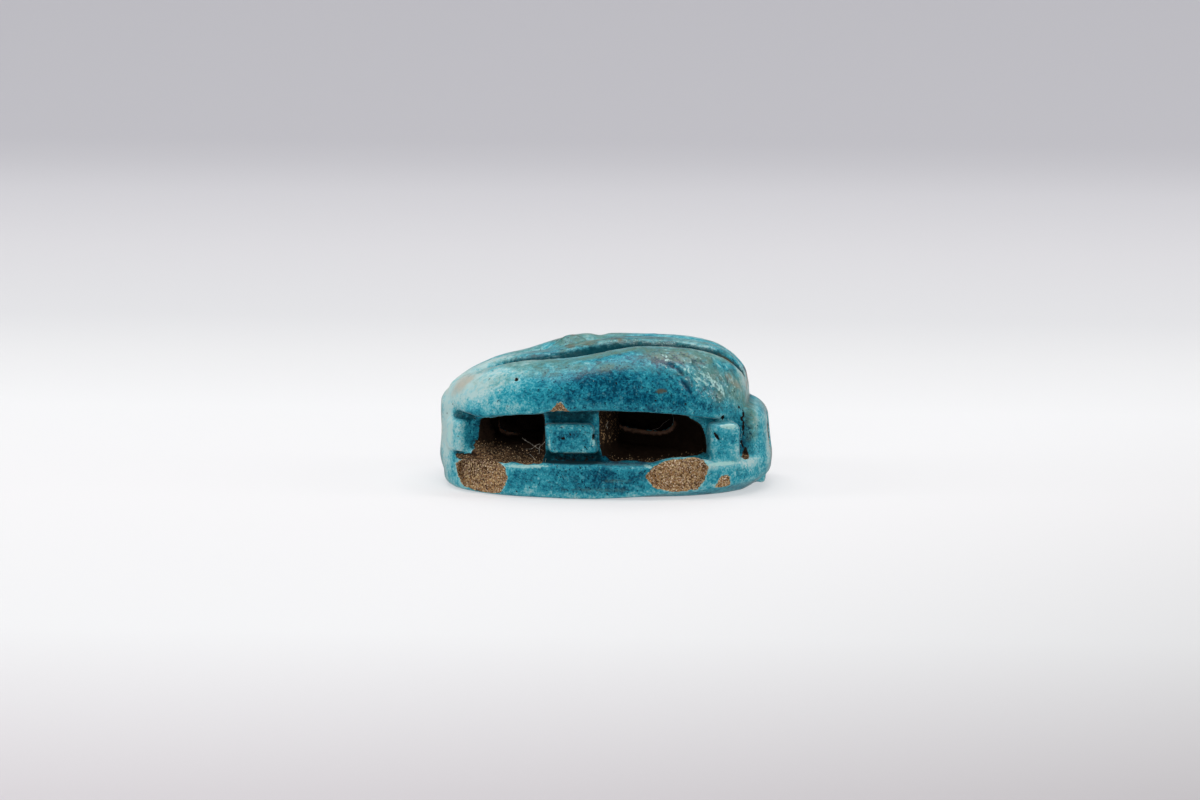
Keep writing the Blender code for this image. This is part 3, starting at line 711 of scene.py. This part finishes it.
def findTone(at, masks, headShade):
    # how deep the glaze's colour is, with painted shade in the creases and painted highlight on the edges,
    # and how it shines, with weathering in keeping on the hidden sides
    height, unseen = at.height, 1.0 - at.near
    tone = 0.50 + masks.pop("deepGlazeAndShade") - masks.pop("thinAndLit") + 0.10 * roughness(at.points, 1.3, 22)
    tone += unseen * (0.28 * roughness(at.points, 2.6, 21) - 0.20 * between(0.2, 0.9, at.rise)
                      + 0.10 * between(4.5, 3.0, height))
    edges = between(0.025, 0.08, at.crease)
    # painted shade deepens the tone in concave creases, and a painted highlight pales convex edges below the
    # lip, where the glaze is also thinner
    tone += 0.10 * between(-0.01, -0.05, at.crease) - 0.16 * edges * between(3.75, 3.55, height)
    masks["tone"] = tone + 0.15 * headShade
    polished = between(-0.35, 0.45, lumps(at.points, 1.7, 61))
    rimTop = between(0.5, 0.9, at.rise) * between(2.4, 2.1, height)
    gloss = 0.10 + 0.85 * edges * polished + 0.8 * masks["wrinkle"] + 0.20 * between(4.2, 3.6, height)
    masks["gloss"] = gloss * (1.0 - 0.85 * rimTop)
    stained = 0.70 * between(0.35, 0.9, at.rise) * between(5.0, 6.4, height)
    masks["olive"] = np.maximum(np.minimum(masks["olive"], 0.80),
                                stained * between(-0.5, 0.5, roughness(at.points, 1.8, 23) + 0.2))
    crawled = 0.5 * between(0.25, 0.6, roughness(at.points, 2.2, 25)) * unseen * between(4.4, 5.0, height)
    masks["wrinkle"] = np.maximum(masks["wrinkle"], crawled)


def findRelief(at, masks, crackAndShade):
    # low relief outwards in mm: uneven moulding, wrinkled glaze, granular breaks and soil, pits
    points, core, soil = at.points, masks["core"], masks["soil"]
    glazed = (1.0 - core) * (1.0 - soil)
    relief = 0.030 * roughness(points, 1.6, 31) + 0.012 * glazed * roughness(points, 0.45, 33)
    along = np.array((0.62, 0.1, -0.78))        # the folds run down towards the head
    slanted = points + along * (points @ along)[:, None] * -0.72
    folds = 1.0 - np.abs(0.8 * lumps(slanted, 0.34, 41) + 0.6 * lumps(slanted, 0.19, 42))
    # the folds' ridges take the whitish film as a painted sheen, and their hollows a deeper tone as painted
    # shade
    masks["filmAndHighlight"] = np.maximum(masks["filmAndHighlight"], 1.1 * masks["wrinkle"] * between(0.82, 1.0, folds))
    masks["tone"] += 0.42 * masks["wrinkle"] * between(0.72, 0.35, folds)
    relief += masks["wrinkle"] * 0.12 * (folds - 0.6)
    relief -= core * 0.075 * np.abs(lumps(points, 0.20, 51)) + core * 0.050 * lumps(points, 0.45, 52)
    relief -= 0.08 * crackAndShade
    relief += soil * (0.070 * lumps(points, 0.45, 53) + 0.050 * lumps(points, 0.20, 54))
    pitted = np.zeros(len(points))
    for across, up, radius, depth, stretch, turn in pits:
        share = fromOval(at.across - across, at.up - up, turn, stretch * radius, radius)
        hole = between(1.15, 0.45, share) * (at.near > 0.5)
        relief -= depth * hole
        pitted = np.maximum(pitted, hole)
    rng = np.random.default_rng(5)
    chosen = points[rng.integers(0, len(points), 150)]
    for place, radius in zip(chosen, rng.uniform(0.04, 0.085, len(chosen))):
        hole = between(1.3, 0.4, np.linalg.norm(points - place, axis=1) / radius) * glazed
        relief -= 0.6 * radius * hole
        pitted = np.maximum(pitted, 0.8 * hole)
    # the crack's painted shade takes the pits' dark colour
    masks["pitsAndCrackShade"] = np.maximum(pitted, crackAndShade * between(1.9, 2.4, at.height))
    return relief


def makeAmulet():
    fields = makeFields()
    report("distance field worked out, " + " x ".join(str(n) for n in fields["body"].shape))
    points, quads, normals = settle(fields["body"])
    at = describe(fields, points, normals)
    masks = {name: patchMask(name, at) for name in patches}
    crackAndShade = findSoil(at, masks)
    findTone(at, masks, findCreaseShade(at, masks))
    relief = findRelief(at, masks, crackAndShade)
    flat = between(-0.97, -0.9, normals[:, 2])          # the foot stays flat
    points = points + normals * (relief * np.maximum(flat, at.height > 0.4))[:, None]
    points[:, 2] = np.maximum(points[:, 2], 0.0)

    mesh = bpy.data.meshes.new("scarab_glazed_body")
    mesh.from_pydata((points * mm).tolist(), [], quads.tolist())
    mesh.validate()
    mesh.shade_smooth()
    for name, values in masks.items():
        mesh.attributes.new(name, "FLOAT", "POINT").data.foreach_set("value", values.astype(np.float32))
    amulet = bpy.data.objects.new("scarab_glazed_body", mesh)
    scene.collection.objects.link(amulet)
    report("amulet's skin has " + str(2 * len(quads)) + " triangles")
    return amulet, points, quads, masks, normals


# Glaze: copper-blue alkaline glaze grown out of the paste in the kiln, worn and stained

glaze = {
    # how deep the glaze's tone is, from its thickness and from the painted shade and light in the tone,
    # and the colour that this gives it
    "depths": ((0.00, "accac9"), (1.00, "003c52"), (0.16, "8bbec2"), (0.32, "5eadb7"), (0.46, "2d97a8"),
               (0.60, "007c93"), (0.74, "006881"), (0.88, "00506c")),
    "colours": {
        "navy": "003349", "fleck": "62bccb", "paleFilmAndHighlight": "a6d2cd", "blush": "b09a84", "olive": "607c67",
        # the deep blue-green 04363f paints shade in the grooves and creases, under the legs and beside the
        # head
        "bare": "564c30", "pooledGlazeAndShade": "04363f",
        "paste": "9d7953", "pasteDark": "3e2a1c", "pasteLight": "d2b88c",
        # the paler soil browns paint light near the mouths and on the bore's lower lip; the pit colour also
        # paints the crack's shade
        "soil": "281d15", "soilBrownLit": "543e2d", "soilPale": "9b7b58", "lipBrownLit": "b58a72", "pitsAndCrackShade": "1c100b",
        "rust": "6b5a36",
    },
    # patterns: size in mm, detail, roughness, distortion; paste is ground to about 0.1 mm, and copper gathers
    # in specks and mottles of 0.1 to 0.3 mm; the finest is drawn at 0.05 mm, one pixel, so that it shows
    "patterns": {
        "clouds": (0.60, 5.0, 0.7, 0.4), "blots": (0.34, 3.0, 0.6, 0.3), "mottle": (0.20, 3.0, 0.7, 0.1),
        "specks": (0.11, 1.0, 0.5, 0.0), "spots": (0.22, 1.0, 0.5, 0.0), "grain": (0.09, 1.0, 0.5, 0.0),
        "fine": (0.05, 1.0, 0.5, 0.0),
    },
    # layers, from the bottom up: mask, its share, pattern, its share, where the layer starts and where it is
    # full, how much of it, colour
    "layers": (
        ("olive", 0.70, "clouds", 0.9, 0.60, 1.15, 0.80, "olive"),
        ("tone", 0.30, "blots", 1.0, 0.74, 0.86, 0.40, "navy"),
        ("tone", 0.28, "specks", 1.0, 0.78, 0.86, 0.90, "navy"),
        ("tone", -0.10, "spots", 1.0, 0.54, 0.64, 0.30, "fleck"),
        # whitish film, with painted highlights, glints and sheen
        ("filmAndHighlight", 0.70, "grain", 0.9, 0.80, 1.05, 0.7, "paleFilmAndHighlight"),
        ("filmAndHighlight", 0.40, "specks", 1.0, 0.82, 0.88, 0.8, "paleFilmAndHighlight"),
        ("olive", 0.12, "spots", 1.0, 0.80, 0.87, 0.35, "rust"),
        ("blush", 0.8, "clouds", 0.8, 0.60, 1.20, 0.6, "blush"),
        # painted shade in the grooves and creases, under the legs and beside the head
        ("pooledGlazeAndShade", 0.9, "mottle", 0.6, 0.40, 1.00, 0.92, "pooledGlazeAndShade"),
        # pale edge round the breaks, with a painted glint
        ("chipEdgeFilmAndGlint", 1.0, "grain", 1.0, 1.15, 1.40, 0.7, "paleFilmAndHighlight"),
        ("bare", 1.0, "mottle", 1.6, 1.00, 1.75, 0.80, "bare"),
        # dark pits, and the painted shade of the crack beside the head
        ("pitsAndCrackShade", 1.0, "grain", 0.5, 0.60, 0.85, 1.0, "pitsAndCrackShade"),
    ),
    "paste": (
        ("grime", 0.5, "mottle", 1.0, 0.55, 1.05, 0.85, "pasteDark"),
        (None, 0.0, "mottle", 1.0, 0.45, 0.70, 0.5, "pasteDark"),
        (None, 0.0, "grain", 1.0, 0.50, 0.60, 0.8, "pasteLight"),
        (None, 0.0, "specks", 1.0, 0.56, 0.64, 0.85, "pasteDark"),
    ),
    "dirt": (
        # painted light: paler soil near the mouths and on the floors
        ("outer", 0.7, "mottle", 1.0, 0.70, 1.30, 0.9, "soilBrownLit"),
        ("outer", 0.5, "grain", 1.0, 0.92, 1.02, 0.6, "soilPale"),
        ("pillar", 0.3, "specks", 1.0, 0.89, 0.96, 0.8, "soilPale"),
        # painted light on the bore's lower lip
        ("lip", 0.8, "mottle", 0.8, 0.60, 1.10, 0.9, "lipBrownLit"),
    ),
    "cloudiness": (("clouds", 1.1), ("mottle", 0.9), ("grain", 0.6)),      # how much each one shifts the tone
    # roughness of thin and of deep glaze, how uneven it is, and that of the rim's dull top and of bare paste
    "rough": {"thinAndLit": 0.40, "deep": 0.22, "uneven": 0.12, "rimTop": 0.85, "paste": 0.92},
    # sums of masks and patterns: result, operation, terms
    "sums": (
        ("matt", "MAXIMUM", "broken", "soiled"),
        ("dry", "MAXIMUM", "matt", "pooledGlazeAndShade"),
        ("clean", "SUBTRACT", 1.0, "dry"),
        ("wet", "MULTIPLY", "clean", "gloss"),
        ("dusty", "MULTIPLY", "clean", 0.45),
        ("pores", "MULTIPLY", "specks", 0.35),
        ("pores", "MULTIPLY_ADD", "grain", "wrinkle", "pores"),
        ("grit", "MULTIPLY", "matt", "fine"),
        ("pores", "MULTIPLY_ADD", "grit", 1.3, "pores"),
        ("ripple", "MULTIPLY", "mottle", 0.5),
        ("ripple", "MULTIPLY_ADD", "grain", "wrinkle", "ripple"),
    ),
}


def makeGlaze():
    # it gives the eye a mottled, slightly translucent blue full of darker specks, under a soft uneven gloss
    material, tree = newMaterial("worn turquoise alkaline glaze on quartz paste")
    colour = {name: hexColour(value) for name, value in glaze["colours"].items()}
    coords = addNode(tree, "TexCoord", out="Object")
    inMm = addNode(tree, "Mapping", {"Vector": coords, "Scale": (1000, 1000, 1000)})
    value = {}
    for name, (size, detail, rough, distortion) in glaze["patterns"].items():
        value[name] = addNode(tree, "TexNoise", {"Vector": inMm, "Scale": 1.0 / size, "Detail": detail,
                                                 "Roughness": rough, "Distortion": distortion})
    for name in skinMasks:
        value[name] = addNode(tree, "Attribute", out="Fac", attribute_name=name)

    def cover(below, layers):
        # lays one colour after another over the one below; gives back the last one's share as well
        for maskName, maskShare, patternName, patternShare, start, full, amount, top in layers:
            share = addNode(tree, "Math", {0: value[patternName], 1: patternShare}, operation="MULTIPLY")
            if maskName:
                share = addNode(tree, "Math", {0: value[maskName], 1: maskShare, 2: share},
                                operation="MULTIPLY_ADD")
            share = addNode(tree, "MapRange", {"Value": share, "From Min": start, "From Max": full,
                                               "To Max": amount}, interpolation_type="SMOOTHSTEP")
            below = addNode(tree, "Mix", {0: share, 6: below, 7: colour.get(top, top)}, out=2,
                            data_type="RGBA")
        return below, share

    middle = -0.5 * sum(share for _, share in glaze["cloudiness"])
    tone = addNode(tree, "Math", {0: value["tone"], 1: middle}, operation="ADD")
    for name, share in glaze["cloudiness"]:
        tone = addNode(tree, "Math", {0: value[name], 1: share, 2: tone}, operation="MULTIPLY_ADD")
    body = addNode(tree, "ValToRGB", {"Fac": tone}, stops=glaze["depths"])
    body, _ = cover(body, glaze["layers"])
    paste, _ = cover(colour["paste"], glaze["paste"])
    dirt, _ = cover(colour["soil"], glaze["dirt"])
    body, value["broken"] = cover(body, (("core", 1.0, "grain", 0.7, 0.78, 0.92, 1.0, paste),))
    body, value["soiled"] = cover(body, (("soil", 1.0, "mottle", 0.9, 0.85, 1.05, 1.0, dirt),))
    for name, operation, *terms in glaze["sums"]:
        value[name] = addNode(tree, "Math", {k: value.get(term, term) for k, term in enumerate(terms)},
                              operation=operation, use_clamp=name in ("clean", "wet"))

    rough = glaze["rough"]
    dull = addNode(tree, "MapRange", {"Value": tone, "From Min": 0.1, "From Max": 0.6,
                                      "To Min": rough["thinAndLit"], "To Max": rough["deep"]})
    dull = addNode(tree, "Math", {0: value["mottle"], 1: rough["uneven"], 2: dull}, operation="MULTIPLY_ADD")
    dull = addNode(tree, "MapRange", {"Value": value["gloss"], "From Min": 0.045, "From Max": 0.09,
                                      "To Min": rough["rimTop"], "To Max": dull})
    dull = addNode(tree, "Mix", {0: value["matt"], 2: dull, 3: rough["paste"]})
    sharp = addNode(tree, "MapRange", {"Value": value["gloss"], "From Min": 0.3, "To Min": 0.20,
                                       "To Max": 0.07})
    bump = addNode(tree, "Bump", {"Height": value["pores"], "Strength": 0.8, "Distance": 0.04 * mm})
    ripple = addNode(tree, "Bump", {"Height": value["ripple"], "Strength": 0.7, "Distance": 0.04 * mm})
    shader = addNode(tree, "BsdfPrincipled", {
        "Base Color": body, "Roughness": dull, "Normal": bump, "IOR": 1.45, "Specular IOR Level": 0.07,
        "Coat Weight": value["wet"], "Coat Roughness": sharp, "Coat IOR": 1.5, "Coat Normal": ripple,
        "Sheen Weight": value["dusty"], "Sheen Roughness": 0.25, "Sheen Tint": hexColour("ffdfcb")})
    addNode(tree, "OutputMaterial", {"Surface": shader})
    return material


amulet, skinPoints, skinQuads, skinMasks, skinNormals = makeAmulet()
amulet.data.materials.append(makeGlaze())
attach(amulet, "root")
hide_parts("scarab_amulet")
report("amulet glazed")


# Loose matter: quartz grains on the breaks, soil crumbs in the hollows, lint caught on the rough spots

def openTree(name, sizes):
    # a tree that takes a mesh and named sizes and gives a mesh back
    tree = bpy.data.node_groups.new(name, "GeometryNodeTree")
    for side in ("INPUT", "OUTPUT"):
        tree.interface.new_socket("Geometry", in_out=side, socket_type="NodeSocketGeometry")
    sockets = {}
    for label in sizes:
        socket = tree.interface.new_socket(label, in_out="INPUT", socket_type="NodeSocketFloat")
        sockets[label] = socket.identifier
    return tree, sockets, tree.nodes.new("NodeGroupInput").outputs


def closeTree(tree, geometry, material):
    real = addNode(tree, "GeometryNodeRealizeInstances", {"Geometry": geometry})
    done = addNode(tree, "GeometryNodeSetMaterial", {"Geometry": real, "Material": material})
    addNode(tree, "NodeGroupOutput", {"Geometry": done})


def scatterTree(name, sizes, material):
    # grains of a few faces, thrown over the faces of the mesh that it is given
    tree, sockets, start = openTree(name, sizes)
    amount = addNode(tree, "GeometryNodeInputNamedAttribute", {"Name": "amount"}, data_type="FLOAT")
    density = addNode(tree, "Math", {0: amount, 1: start["Density"]}, operation="MULTIPLY")
    places = addNode(tree, "GeometryNodeDistributePointsOnFaces", {
        "Mesh": start["Geometry"], "Density": density, "Seed": 7})
    grain = addNode(tree, "GeometryNodeMeshIcoSphere", {"Radius": 1.0, "Subdivisions": 1})
    turned = addNode(tree, "FunctionNodeRandomValue", {0: (0, 0, 0), 1: (6.28, 6.28, 6.28), "Seed": 3},
                     data_type="FLOAT_VECTOR")
    small = addNode(tree, "CombineXYZ", {k: start["Smallest"] for k in range(3)})
    large = addNode(tree, "CombineXYZ", {k: start["Largest"] for k in range(3)})
    size = addNode(tree, "FunctionNodeRandomValue", {0: small, 1: large, "Seed": 5}, data_type="FLOAT_VECTOR")
    spread = addNode(tree, "GeometryNodeInstanceOnPoints", {
        "Points": places, "Instance": grain, "Rotation": turned, "Scale": size})
    closeTree(tree, spread, material)
    return tree, sockets


def threadTree(name, sizes, material):
    # each run of edges becomes a thin round thread
    tree, sockets, start = openTree(name, sizes)
    line = addNode(tree, "GeometryNodeMeshToCurve", {"Mesh": start["Geometry"]})
    ring = addNode(tree, "GeometryNodeCurvePrimitiveCircle", {"Resolution": 4, "Radius": start["Radius"]})
    tube = addNode(tree, "GeometryNodeCurveToMesh", {"Curve": line, "Profile Curve": ring, "Fill Caps": True})
    closeTree(tree, tube, material)
    return tree, sockets


def growPiece(name, base, tree, sockets, sizes):
    # the node tree's result, kept as a plain mesh that rides with the amulet
    piece = bpy.data.objects.new(name, base)
    scene.collection.objects.link(piece)
    modifier = piece.modifiers.new(name, "NODES")
    modifier.node_group = tree
    for label, value in sizes.items():
        modifier[sockets[label]] = float(value)
    graph = bpy.context.evaluated_depsgraph_get()
    mesh = bpy.data.meshes.new_from_object(piece.evaluated_get(graph))
    piece.modifiers.remove(modifier)
    piece.data = mesh
    mesh.name = name
    if mesh.materials[0] is None:       # the grain's own empty slot
        mesh.materials.pop(index=0)
    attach(piece, "root")
    report(name + " has " + str(sum(len(face.vertices) - 2 for face in mesh.polygons)) + " triangles")
    return piece


def regionMesh(name, amount):
    # the skin's faces where there is any amount, with that amount at their corners
    faces = skinQuads[amount[skinQuads].min(axis=1) > 0.02]
    used, numbers = np.unique(faces, return_inverse=True)
    mesh = bpy.data.meshes.new(name)
    mesh.from_pydata((skinPoints[used] * mm).tolist(), [], numbers.reshape(faces.shape).tolist())
    mesh.attributes.new("amount", "FLOAT", "POINT").data.foreach_set("value", amount[used].astype(np.float32))
    return mesh


def makeGrit(name, shades, rough, drift=0.0):
    # each grain takes its own shade, which gives the eye a break that sparkles and isn't painted; drift makes
    # the grains darker towards the tail, by so much a millimetre
    material, tree = newMaterial(name)
    coords = addNode(tree, "TexCoord", out="Object")
    inMm = addNode(tree, "Mapping", {"Vector": coords, "Scale": (1000, 1000, 1000)})
    cells = addNode(tree, "TexNoise", {"Vector": inMm, "Scale": 13.0, "Detail": 1.0})
    along = addNode(tree, "VectorMath", {0: inMm, 1: (drift, 0.0, 0.0)}, out="Value",
                    operation="DOT_PRODUCT")
    cells = addNode(tree, "Math", {0: cells, 1: along}, operation="ADD")
    shade = addNode(tree, "ValToRGB", {"Fac": cells}, stops=shades)
    shader = addNode(tree, "BsdfPrincipled", {"Base Color": shade, "Roughness": rough})
    addNode(tree, "OutputMaterial", {"Surface": shader})
    return material


# how many to a square metre, and their radii
grains = {"Density": 75e6, "Smallest": 0.022 * mm, "Largest": 0.055 * mm}
crumbs = {"Density": 130e6, "Smallest": 0.014 * mm, "Largest": 0.055 * mm}
grainShades = ((0.33, "37231b"), (0.65, "f6e6ca"), (0.43, "87644c"), (0.55, "bd9b7b"))
crumbShades = ((0.38, "1a110b"), (0.68, "cbb08a"), (0.49, "41301f"), (0.58, "7d5f42"))


def makeLoose():
    x, height = skinPoints[:, 0], skinPoints[:, 2]
    paste = makeGrit("crushed quartz paste", grainShades, 0.6, 0.009)
    tree, sockets = scatterTree("quartz grains", grains, paste)
    breaks = regionMesh("breaks", between(0.9, 1.0, skinMasks["core"]))
    growPiece("paste_grains", breaks, tree, sockets, grains)
    earth = makeGrit("dried burial soil", crumbShades, 0.9)
    tree, sockets = scatterTree("soil crumbs", crumbs, earth)
    floor = between(0.2, 0.7, skinNormals[:, 2]) * between(2.9, 2.5, height)
    pillar = 0.70 * between(0.30, 0.90, skinMasks["outer"]) * (height > 2.0)
    crevice = between(6.6, 6.85, x) * between(3.0, 2.0, height)
    reached = np.maximum.reduce([floor, pillar, crevice])
    amount = between(0.6, 1.0, skinMasks["soil"]) * skinMasks["outer"] * reached
    growPiece("soil_crumbs", regionMesh("soiled floors", amount), tree, sockets, crumbs)


lint = {"Radius": 0.006 * mm}
fibreSteps = 14
# where each fibre starts, which way it heads in degrees to the side and up, its length and curl in mm
fibres = (((-2.85, -4.95, 2.35), (160, 25), 1.0, 0.25), ((-2.95, -5.05, 2.15), (60, 70), 0.7, -0.30),
          ((-2.60, -5.15, 1.95), (95, -50), 0.6, 0.20), ((-3.6, -4.8, 2.30), (20, 15), 0.8, 0.18),
          ((-2.2, -5.45, 1.75), (100, -60), 0.45, 0.15), ((-3.1, -5.2, 1.90), (150, 40), 0.5, -0.2),
          ((2.35, -1.15, 2.72), (8, 28), 1.0, 0.22), ((0.4, -4.9, 3.75), (120, -60), 0.5, 0.2))


def makeLint():
    points, edges = [], []
    for (startX, startY, startZ), (side, up), length, curl in fibres:
        sideways, upwards = math.radians(side), math.radians(up)
        for k in range(fibreSteps + 1):
            share = k / fibreSteps
            bend = curl * (share * share - share * 0.4) + 0.03 * math.sin(9.0 * share + side)
            level = length * share * math.cos(upwards)
            points.append((startX + level * math.cos(sideways) - bend * math.sin(upwards),
                           startY + 0.3 * level * math.sin(sideways),
                           startZ + length * share * math.sin(upwards) + bend * math.cos(upwards)))
            if k:
                edges.append((len(points) - 2, len(points) - 1))
    mesh = bpy.data.meshes.new("lint lines")
    mesh.from_pydata([[value * mm for value in point] for point in points], edges, [])
    cotton = makeGrit("loose cotton lint", ((0.3, "8f8577"), (0.7, "cfc8bb")), 0.6)
    tree, sockets = threadTree("lint threads", lint, cotton)
    growPiece("lint_fibres", mesh, tree, sockets, lint)


makeLoose()
makeLint()


# Pale sweep

sweep = {
    "width": 1200.0, "front": -400.0, "bend": 140.0, "radius": 90.0, "height": 500.0,
    "shadeFrom": -150.0, "shadeTo": 400.0,
    "corner": (2.0, -1.0, -4.0),      # painted shade: the paper darkens to the right and to the front
    "lit": 0.48, "glow": 0.60,        # share lit by the lamps, and a painted glow that lifts the shade under the amulet
    "shades": ((-150.0, "9b9899"), (400.0, "9d9ca2"), (-98.0, "b4b1b3"), (-69.0, "cecacd"), (-38.0, "e4e4e5"),
               (-6.0, "e7e6e7"), (22.0, "e6e6e7"), (41.0, "dededf"), (57.0, "d5d5d7"), (88.0, "d0cfd2"),
               (120.0, "c7c6ca"), (150.0, "b7b6bb")),
}


def makeSweep():
    bend, radius = sweep["bend"], sweep["radius"]
    steps = [(sweep["front"], 0.0), (0.0, 0.0), (bend, 0.0)]
    for k in range(1, 17):
        angle = 0.5 * math.pi * k / 16
        steps.append((bend + radius * math.sin(angle), radius * (1 - math.cos(angle))))
    steps.append((bend + radius, sweep["height"]))
    half = 0.5 * sweep["width"]
    points = [(side * half * mm, y * mm, z * mm) for y, z in steps for side in (-1, 1)]
    faces = [(2 * k, 2 * k + 1, 2 * k + 3, 2 * k + 2) for k in range(len(steps) - 1)]
    mesh = bpy.data.meshes.new("sweep")
    mesh.from_pydata(points, [], faces)
    mesh.shade_smooth()
    floor = bpy.data.objects.new("sweep", mesh)
    scene.collection.objects.link(floor)
    # matt paper with painted light: lightest around the amulet, greying towards the front and up the back; it
    # glows too
    material, tree = newMaterial("matt white paper with painted light")
    coords = addNode(tree, "TexCoord", out="Object")
    depth = addNode(tree, "VectorMath", {0: coords, 1: (0.0, 1.0, 1.0)}, out="Value",
                    operation="DOT_PRODUCT")        # along the floor and then up the back
    low, high = sweep["shadeFrom"], sweep["shadeTo"]
    depth = addNode(tree, "MapRange", {"Value": depth, "From Min": low * mm, "From Max": high * mm})
    shades = [((place - low) / (high - low), shade) for place, shade in sweep["shades"]]
    grey = addNode(tree, "ValToRGB", {"Fac": depth}, stops=shades)
    corner = addNode(tree, "VectorMath", {0: coords, 1: sweep["corner"]}, out="Value",
                     operation="DOT_PRODUCT")
    corner = addNode(tree, "MapRange", {"Value": corner, "From Min": 0.01, "From Max": 0.22, "To Min": 1.0,
                                        "To Max": 0.56}, interpolation_type="SMOOTHSTEP")
    corner = addNode(tree, "Math", {0: corner, 1: 1.0}, operation="MINIMUM")
    grey = addNode(tree, "VectorMath", {0: grey, 3: corner}, out="Vector", operation="SCALE")
    lit = addNode(tree, "VectorMath", {0: grey, 3: sweep["lit"]}, out="Vector", operation="SCALE")
    shader = addNode(tree, "BsdfPrincipled", {
        "Base Color": lit, "Roughness": 0.95, "Specular IOR Level": 0.1, "Emission Color": grey,
        "Emission Strength": sweep["glow"]})
    addNode(tree, "OutputMaterial", {"Surface": shader})
    mesh.materials.append(material)
    floor.visible_glossy = False     # a polarising filter keeps the paper's shine off the glaze


# Soft studio light

lights = {
    # place, width and height in mm, watts, colour, whether the glaze mirrors it
    "top": ((-20, 110, 320), (360, 240), 0.66, "ffffff", True),
    "spark": ((150, 38, 303), (70, 50), 0.08, "ffffff", True),
    "strip": ((-20, -40, 330), (260, 14), 0.30, "ffffff", True),
    "front": ((20, -280, 170), (300, 140), 0.30, "ffffff", False),
    "left": ((-300, -60, 130), (30, 220), 0.32, "fbfdff", True),
    "right": ((320, -20, 130), (30, 220), 0.26, "ffffff", True),
}


def makeLights():
    for name, (place, size, watts, colour, mirrored) in lights.items():
        data = bpy.data.lights.new(name, "AREA")
        data.shape = "RECTANGLE"
        data.size, data.size_y = size[0] * mm, size[1] * mm
        data.energy = watts
        data.color = hexColour(colour)[:3]
        light = bpy.data.objects.new(name, data)
        light.visible_glossy = mirrored
        scene.collection.objects.link(light)
        light.location = Vector(place) * mm
        light.rotation_euler = (Vector((0, 0, 3)) - Vector(place)).to_track_quat("-Z", "Y").to_euler()
    world = bpy.data.worlds.new("studio")
    world.use_nodes = True
    world.node_tree.nodes["Background"].inputs[0].default_value = hexColour("f4f5f8")
    world.node_tree.nodes["Background"].inputs[1].default_value = 0.12
    scene.world = world


makeSweep()
makeLights()
report("sweep and lights set")
